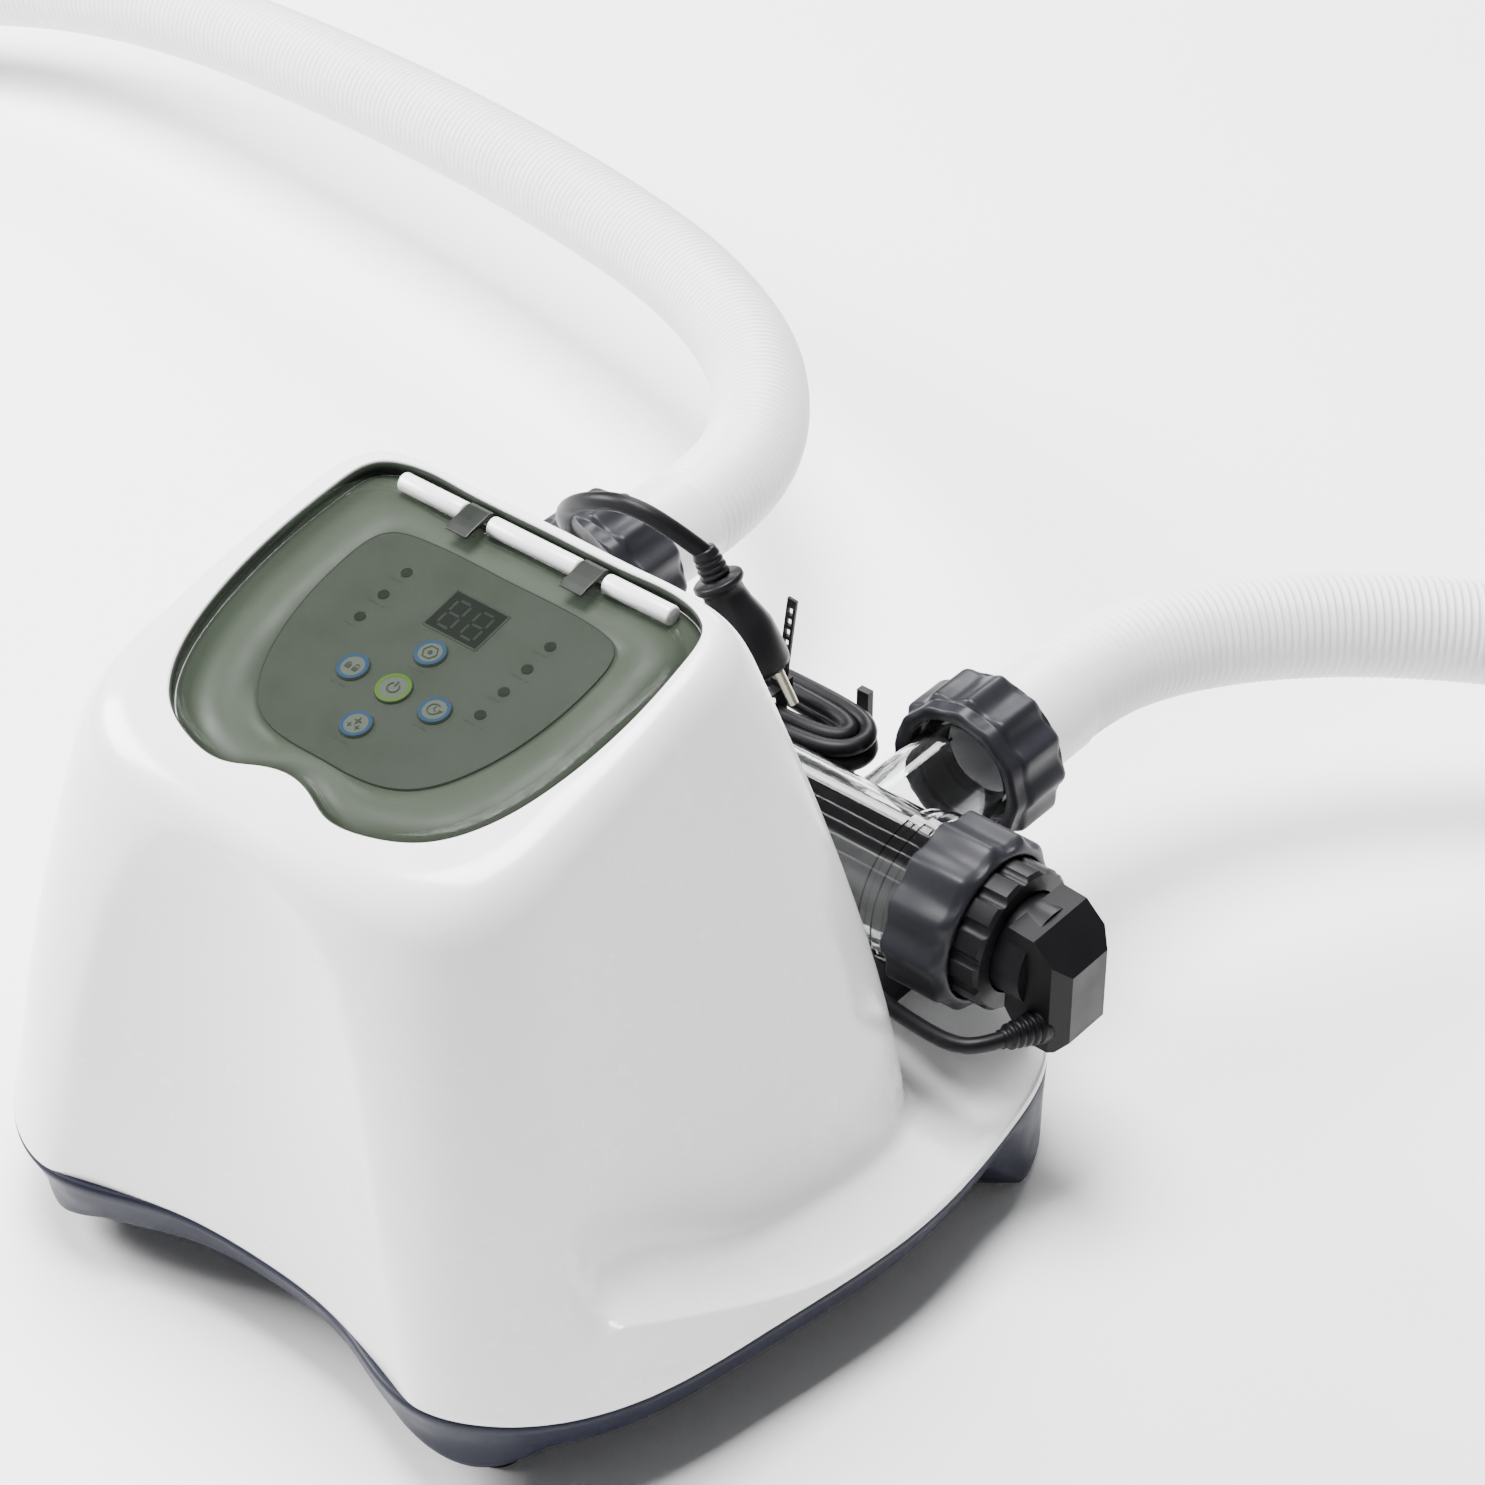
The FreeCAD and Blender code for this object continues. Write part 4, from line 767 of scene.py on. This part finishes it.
def mark_arc(name, centre, inner, outer, button, start, sweep):
    """A dark arc printed on a button."""
    band(name, centre, inner, outer, CAP_TOP, 2 * INK, print_dark, button, start, sweep)


def button_symbols():
    """Coloured rings and pale faces on the buttons, and a generic symbol on each."""
    for name, (u, v) in BUTTONS.items():
        power = name == "power_button"
        outer = 6.9 if power else 6.1
        ink = ring_green if power else ring_blue
        obj = band(name + "_ring", (u, v), outer - 1.5, outer - 0.1, CAP_TOP, INK, ink, name)
        plate = flat_shape(name + "_face", [disc((u, v), outer - 1.3, 32)], CAP_TOP, INK * 0.4,
                           film_light, name)

    u, v = BUTTONS["power_button"]
    mark_arc("power_mark_arc", (u, v), 2.0, 2.6, "power_button", 125.0, 290.0)
    mark("power_mark_bar", [bar((u, v + 0.6), (u, v + 3.1), 0.6)], "power_button")

    u, v = BUTTONS["boost_button"]
    hexagon = disc((u, v), 3.1, 6)
    sides = [bar(hexagon[i], hexagon[(i + 1) % 6], 0.45) for i in range(6)]
    mark("boost_mark", sides + [disc((u, v), 1.0)], "boost_button")

    u, v = BUTTONS["lock_button"]
    shifts = (-1.7, 1.7)
    mark("lock_mark_bodies", [[(u + s - 1.1, v - 1.8), (u + s + 1.1, v - 1.8),
                               (u + s + 1.1, v + 0.1), (u + s - 1.1, v + 0.1)]
                              for s in shifts], "lock_button")
    for number, shift in enumerate(shifts):
        mark_arc(f"lock_mark_shackle_{number}", (u + shift, v + 0.2 + 0.5 * number), 0.6, 0.95,
                 "lock_button", 0.0, 180.0)

    u, v = BUTTONS["timer_button"]
    mark_arc("timer_mark_dial", (u - 0.3, v), 2.2, 2.65, "timer_button", 60.0, 300.0)
    mark("timer_mark_hands", [bar((u - 0.3, v), (u - 0.3, v + 1.6), 0.4),
                              bar((u - 0.3, v), (u + 1.0, v - 0.7), 0.4),
                              [(u + 1.6, v + 0.8), (u + 3.4, v + 0.8), (u + 2.5, v - 1.0)]],
         "timer_button")

    u, v = BUTTONS["clean_button"]
    sparks = []
    for du, dv, size in ((0.0, 1.2, 1.9), (-1.8, -1.6, 1.3), (1.8, -1.4, 1.3)):
        spark = []
        for i in range(8):
            reach = size if i % 2 == 0 else size * 0.34
            angle = math.radians(45 * i)
            spark.append((u + du + reach * math.cos(angle), v + dv + reach * math.sin(angle)))
        sparks.append(spark)
    mark("clean_mark", sparks, "clean_button")


button_symbols()

OVERLAY_TOP = 1.2
LED_U, LED_TOP, LED_PITCH = 35.2, 45.8, 12.8      # the lamps' columns


def graphic_outline():
    """Thin raised line round the graphic."""
    centre = np.array([0.0, 12.0])
    outline = radii_about(closed_loop(GRAPHIC), centre)
    corners = ((-0.1, OVERLAY_TOP), (0.35, OVERLAY_TOP), (0.35, OVERLAY_TOP + 0.1),
               (-0.1, OVERLAY_TOP + 0.1))
    rows = [panel_points(centre + DIRECTIONS * (outline - inward)[:, None], rise)
            for inward, rise in corners]
    ring_skin("graphic_outline", rows, print_dark, closed=True)


def label_dashes():
    """Short dashes in place of the words by the lamps and the buttons."""
    dashes = []
    for side, count in ((-1, 3), (1, 4)):
        for row in range(count):
            u, v = side * LED_U, LED_TOP - row * LED_PITCH - 4.6
            for k, width in enumerate((3.2, 2.2, 1.4)[:2 + row % 2]):
                start = u - 4.0 + 3.6 * k
                dashes.append(bar((start, v), (start + width, v), 0.55))
    for name, (u, v) in BUTTONS.items():
        if name == "power_button":
            continue
        for k, width in enumerate((2.6, 3.4)):
            start = u - 3.4 + 3.6 * k
            dashes.append(bar((start, v - 8.6), (start + width, v - 8.6), 0.55))
    marks = flat_shape("label_dashes", dashes, OVERLAY_TOP, 0.08, print_dark)


def display_marks():
    """Two unlit seven-segment digits and the display's bezel."""
    width, step, base, tip = 6.4, 6.6, 32.6, 0.9
    segments = []
    for middle in (-5.6, 5.6):
        u0, u1 = middle - width / 2, middle + width / 2
        for level in range(3):
            v = base + level * step
            segments.append(bar((u0 + tip, v), (u1 - tip, v), 1.1))
        for level in range(2):
            low, high = base + level * step + tip, base + (level + 1) * step - tip
            segments += [bar((u, low), (u, high), 1.1) for u in (u0, u1)]
    digits = flat_shape("display_digits", segments, OVERLAY_TOP + 0.2, 0.05, segment_grey)
    u0, u1, v0, v1 = -12.8, 12.8, 29.9, 49.2
    frame_bars = [bar((u0, v0), (u1, v0), 0.8), bar((u0, v1), (u1, v1), 0.8),
                  bar((u0, v0), (u0, v1), 0.8), bar((u1, v0), (u1, v1), 0.8)]
    bezel = flat_shape("display_bezel", frame_bars, OVERLAY_TOP, 0.25, print_dark)


def recess_film_and_shade():
    """The film on the recess's floor, and a dark band of painted shade on its walls for the shadow
    gap under the lid's edge.
    """
    floor_film = radii_about(closed_loop(RECESS), LID_CENTRE)
    film_rows = [panel_points(LID_CENTRE + DIRECTIONS * (floor_film * share)[:, None], rise)
                 for share, rise in ((1.0, 0.05), (1.0, 0.5), (0.6, 0.5), (0.6, 0.05))]
    # painted shade: the recess walls get the dark film colour to stand for the shadow gap under the
    # lid's edge
    shade_wall_rows = [recess_ring(0.95, ROOF - 0.9), recess_ring(0.95, 0.3), recess_ring(0.4, 0.3),
                 recess_ring(0.4, ROOF - 0.9)]
    ring_skin("recess_film", film_rows, film_light, closed=True)
    ring_skin("recess_wall_shade", shade_wall_rows, panel_film, closed=True)


graphic_outline()
label_dashes()
display_marks()
recess_film_and_shade()

# ---- hoses and cords
# Routes in millimetres; each ends a little short of what it meets.
GLAND_END = 66.0
LEFT_HOSE = [(-125, 222.6, 114), (-125, 241, 114), (-132, 277, 113.5), (-154, 314, 112),
             (-192, 352, 109.5), (-253, 386, 104.5), (-317, 407, 100), (-396, 424, 96),
             (-482, 436, 92), (-572, 444, 87), (-662, 449, 80), (-749, 444, 69),
             (-826, 419, 57), (-889, 374, 46), (-930, 308, 38), (-947, 231, 33),
             (-949, 153, 30.5), (-945, 75, 30), (-940, -3, 32), (-936, -68, 34.5), (-936, -126, 35)]
RIGHT_HOSE = [(75, 222.6, 114), (75, 240, 114), (80, 270, 113.3), (95, 305, 110.5),
              (121, 344, 106), (157, 384, 99), (205, 425, 90), (264, 463, 80), (333, 494, 69),
              (410, 511, 58), (492, 512, 48), (573, 495, 40.5), (647, 457, 35), (708, 400, 31),
              (749, 327, 28), (765, 244, 27), (764, 159, 28), (757, 75, 30), (748, 0, 33),
              (743, -66, 34.8), (743, -126, 35)]
MAINS_FROM_GLAND = [(-70, GLAND_END, 70), (-71, 88, 67.5), (-74, 109, 66), (-79, 126, 71),
                    (-83, 138, 82), (-84, 145, 95), (-84, 147, 106.2)]
MAINS_TO_PLUG = [(-83, 142, 130.6), (-85, 136, 150), (-85, 120, 175), (-80, 100, 199),
                 (-68, 86, 220), (-51, 80, 235), (-32, 81, 242), (-15.5, 86, 237),
                 (-3.6, 96, 222.4)]
CELL_LEAD = [(40, GLAND_END, 70), (41.5, 80, 69), (48.5, 91, 68.5), (60, 94, 69), (71, 89, 71.5),
             (80, 78.5, 75.5), (89, 69, 80), (101, 62.5, 84), (114, 57.5, 87), (129, 53, 89.5),
             (144, 50, 91.5), (157, 48.8, 93), (167, 52, 94.2), (172, 62, 94.5)]
SENSOR_LEAD = [(-49.7, 94, 77), (-40, 93.5, 76.5), (-31, 89, 74.5), (-26.5, 80, 71.5),
               (-25, GLAND_END, 70)]


def route_curve(name, route, bevel=0.0):
    """One open NURBS spline with the route's points as its control points."""
    data = bpy.data.curves.new(name, "CURVE")
    data.dimensions = "3D"
    data.resolution_u = 12
    data.bevel_depth = bevel * MM
    data.bevel_resolution = 6
    data.use_fill_caps = bevel > 0
    spline = data.splines.new("NURBS")
    spline.points.add(len(route) - 1)
    for point, spot in zip(spline.points, route):
        point.co = (*[c * MM for c in spot], 1.0)
    spline.order_u = 3
    spline.use_endpoint_u = True
    obj = bpy.data.objects.new(name, data)
    collection.objects.link(obj)
    return obj


def points_along(route):
    """Closely spaced points, in millimetres, read from the route's own spline."""
    guide = route_curve("guide", route)
    guide.data.resolution_u = 24
    bpy.context.view_layer.update()
    mesh = bpy.data.meshes.new_from_object(guide)
    spots = np.array([vertex.co[:] for vertex in mesh.vertices]) / MM
    bpy.data.objects.remove(guide)
    return spots


def evenly(spots, step):
    """The same line in even steps, and how far along it each point is."""
    lengths = np.concatenate([[0], np.cumsum(np.linalg.norm(np.diff(spots, axis=0), axis=1))])
    places = np.linspace(0, lengths[-1], int(lengths[-1] / step) + 1)
    return np.stack([np.interp(places, lengths, spots[:, k]) for k in range(3)], 1), places


def length_of(line):
    """Length in metres of a line of millimetre points."""
    return float(np.linalg.norm(np.diff(line, axis=0), axis=1).sum()) * MM


def swept_frames(line):
    """A direction and two steady sideways axes at each point of a line."""
    ahead = np.gradient(line, axis=0)
    ahead /= np.linalg.norm(ahead, axis=1)[:, None]
    side = np.cross(ahead[0], (0.0, 0.0, 1.0))
    sides = []
    for direction in ahead:
        side = side - direction * side.dot(direction)
        side /= np.linalg.norm(side)
        sides.append(side)
    sides = np.array(sides)
    return ahead, sides, np.cross(ahead, sides)


RIB_PITCH = 3.6
RIB_STEPS = 6                         # rows of points to each rib
HOSE_SIDES = 44
HOSE_BORE = 19.6


def corrugated_hose(name, route, replaced):
    """White pool hose: rounded ribs all along, following the route's spline."""
    line, places = evenly(points_along(route), RIB_PITCH / RIB_STEPS)
    _, sides, ups = swept_frames(line)
    phase = 2 * math.pi * places / RIB_PITCH
    smooth_end = smooth_step(places, 0.0, 7.0) * smooth_step(places[-1] - places, 0.0, 7.0)
    crest = 0.5 + 0.5 * np.cos(phase)
    outer = 21.0 + 1.5 * crest ** 0.6 * smooth_end + 1.2 * (1 - smooth_end)
    turns = 2 * math.pi * np.arange(HOSE_SIDES) / HOSE_SIDES
    around = (sides[:, None] * np.cos(turns)[None, :, None]
              + ups[:, None] * np.sin(turns)[None, :, None])
    skin = line[:, None] + around * outer[:, None, None]
    few = np.linspace(len(line) - 1, 0, max(40, len(line) // 24)).astype(int)
    inside = line[few][:, None] + around[few] * HOSE_BORE
    vertices = np.concatenate([skin.reshape(-1, 3), inside.reshape(-1, 3)])
    faces = grid_faces(len(line) + len(few), HOSE_SIDES, closed_rows=True)
    obj = piece(name, vertices, faces, hose_white)
    face_outwards(obj)
    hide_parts(replaced)


def plugged_cord(name, route, radius, replaced):
    """A black cord on its own spline that ends in a plug."""
    length = length_of(evenly(points_along(route), 1.0)[0])
    obj = route_curve(name, route, radius)
    dressed(obj, cord_black)
    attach(obj, "housing")
    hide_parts(*replaced)


corrugated_hose("hose_tube_left", LEFT_HOSE, "hose_left")
corrugated_hose("hose_tube_right", RIGHT_HOSE, "hose_right")

# each turn of the hank: half length, half width, and its strand's height above the hank's
# lower face
HANK_CENTRE = (-25.0, 147.0, 107.0)
HANK_TURNS = ((62.6, 16.8, 4.0), (54.4, 8.4, 4.3), (62.0, 16.4, 11.4), (54.0, 8.6, 11.8))


def hank_points():
    """Twelve points for each turn of the folded cord, from the lower cord to the upper."""
    spots = []
    for number, turn in enumerate(HANK_TURNS):
        following = HANK_TURNS[min(number + 1, len(HANK_TURNS) - 1)]
        for step in range(12):
            share = step / 12.0
            blend = float(smooth_step(np.array(share), 0.6, 1.0))
            half_length, half_width, lift = (now + (later - now) * blend
                                             for now, later in zip(turn, following))
            angle = math.pi + 2 * math.pi * share
            across = math.copysign(abs(math.cos(angle)) ** 0.45, math.cos(angle))
            along = math.copysign(abs(math.sin(angle)) ** 0.85, math.sin(angle))
            spots.append((HANK_CENTRE[0] + half_length * across,
                          HANK_CENTRE[1] + half_width * along, HANK_CENTRE[2] + lift))
    return spots


MAINS_ROUTE = MAINS_FROM_GLAND[:-1] + hank_points() + MAINS_TO_PLUG[1:]
PLUG_START = Vector(MAINS_TO_PLUG[-1])
PLUG_AXIS = Vector((28, 5, -55)).normalized()
plug_place = placed(PLUG_START, PLUG_AXIS)


def plug_profile():
    """Ribbed strain relief, collar and flared moulded plug."""
    corners = [(0.0, -2.0), (4.6, -2.0), (4.9, -1.2)]
    for rib in range(4):
        low = 0.2 + 2.7 * rib
        corners += [(5.2 + 0.25 * rib, low), (5.5 + 0.25 * rib, low + 0.5),
                    (5.5 + 0.25 * rib, low + 1.4), (4.7 + 0.25 * rib, low + 1.9)]
    corners += [(6.0, 11.2), (9.6, 11.3), (10.4, 12.0), (10.5, 13.6), (9.8, 14.6), (8.4, 16.0),
                (8.6, 19.0), (9.6, 24.0), (11.6, 30.0), (13.0, 35.0), (13.4, 42.0), (13.4, 51.0),
                (12.8, 53.2), (11.6, 54.0), (0.0, 54.0)]
    return corners


plug = lathe("mains_plug_moulding", plug_profile(), plug_place, cap_black, "housing", 56)
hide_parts("mains_plug")

plugged_cord("mains_lead", MAINS_ROUTE, 3.75,
             ("mains_cord_lower", "mains_hank", "mains_cord_upper"))


def relief_profile(length):
    """Five ribs that get smaller towards the cord."""
    corners = [(0.0, -3.0), (6.4, -3.0), (7.0, -1.0)]
    for rib in range(5):
        low = 0.3 + 3.2 * rib
        size = 6.9 - 0.42 * rib
        corners += [(size - 0.3, low), (size, low + 0.4), (size, low + 1.6),
                    (size - 0.3, low + 2.0), (size - 1.7, low + 2.2), (size - 1.7, low + 3.1)]
    corners += [(3.9, length), (0.0, length)]
    return corners


RELIEF_START = Vector((177, 79, 92.3))
RELIEF_END = Vector(CELL_LEAD[-1])
relief = lathe("cell_plug_bellows", relief_profile((RELIEF_END - RELIEF_START).length + 0.5),
               placed(RELIEF_START, RELIEF_END - RELIEF_START), cord_black, "housing", 48)
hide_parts("cell_plug_relief")

plugged_cord("cell_lead_cord", CELL_LEAD, 3.3, ("cell_lead",))

sensor_cord = route_curve("sensor_lead_cord", SENSOR_LEAD, 2.2)
dressed(sensor_cord, cord_black)
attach(sensor_cord, "housing")
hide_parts("sensor_lead")


# ---- union nuts
LOBES = 12


def lobed_nut(node_name, profile, place):
    """A nut whose grip is cut into round lobes between smooth end faces."""
    outer = max(radius for radius, height in profile)

    def grip(angle, radius):
        cut = 2.9 * (0.5 - 0.5 * math.cos(LOBES * angle)) ** 0.8
        return radius - cut * min(1.0, max(0.0, (radius - outer + 3.6) / 2.2))

    obj = lathe(node_name + "_grip", profile, place, nut_grey, node_name, 20 * LOBES, grip)
    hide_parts(node_name)


PORT_NUT = [(25.7, 0.0), (30.8, 0.0), (31.6, 0.8), (31.6, 5.6), (32.2, 6.2), (33.6, 6.6),
            (34.3, 7.4), (34.5, 8.6), (34.5, 26.8), (34.2, 28.2), (33.4, 29.6), (32.2, 30.6),
            (30.8, 31.0), (24.1, 31.0), (24.1, 25.0), (25.7, 25.0)]
CELL_NUT = [(33.1, 0.0), (36.0, 0.0), (36.9, 0.4), (37.3, 1.4), (37.3, 23.4), (37.0, 24.8),
            (36.2, 26.2), (35.0, 27.4), (33.4, 28.4), (31.8, 29.0), (30.7, 29.0), (30.7, 22.5),
            (33.1, 22.5)]
for name, x in (("port_nut_left", -125.0), ("port_nut_right", 75.0)):
    lobed_nut(name, PORT_NUT, placed((x, 158.0, 114.0), (0, 1, 0)))
lobed_nut("cell_nut", CELL_NUT, placed((115.5, 94.0, 114.0), (1, 0, 0)))

# ---- floor
floor_material = moulded("floor_white", (0.93, 0.93, 0.93), 0.9, vary=0.004, bump=0.0)
floor_mesh = bpy.data.meshes.new("floor")
FLOOR = 6.0                           # metres from the middle to each side
floor_mesh.from_pydata([(-FLOOR, -FLOOR, 0), (FLOOR, -FLOOR, 0), (FLOOR, FLOOR, 0),
                        (-FLOOR, FLOOR, 0)], [], [(0, 1, 2, 3)])
floor = bpy.data.objects.new("floor", floor_mesh)
collection.objects.link(floor)
dressed(floor, floor_material)
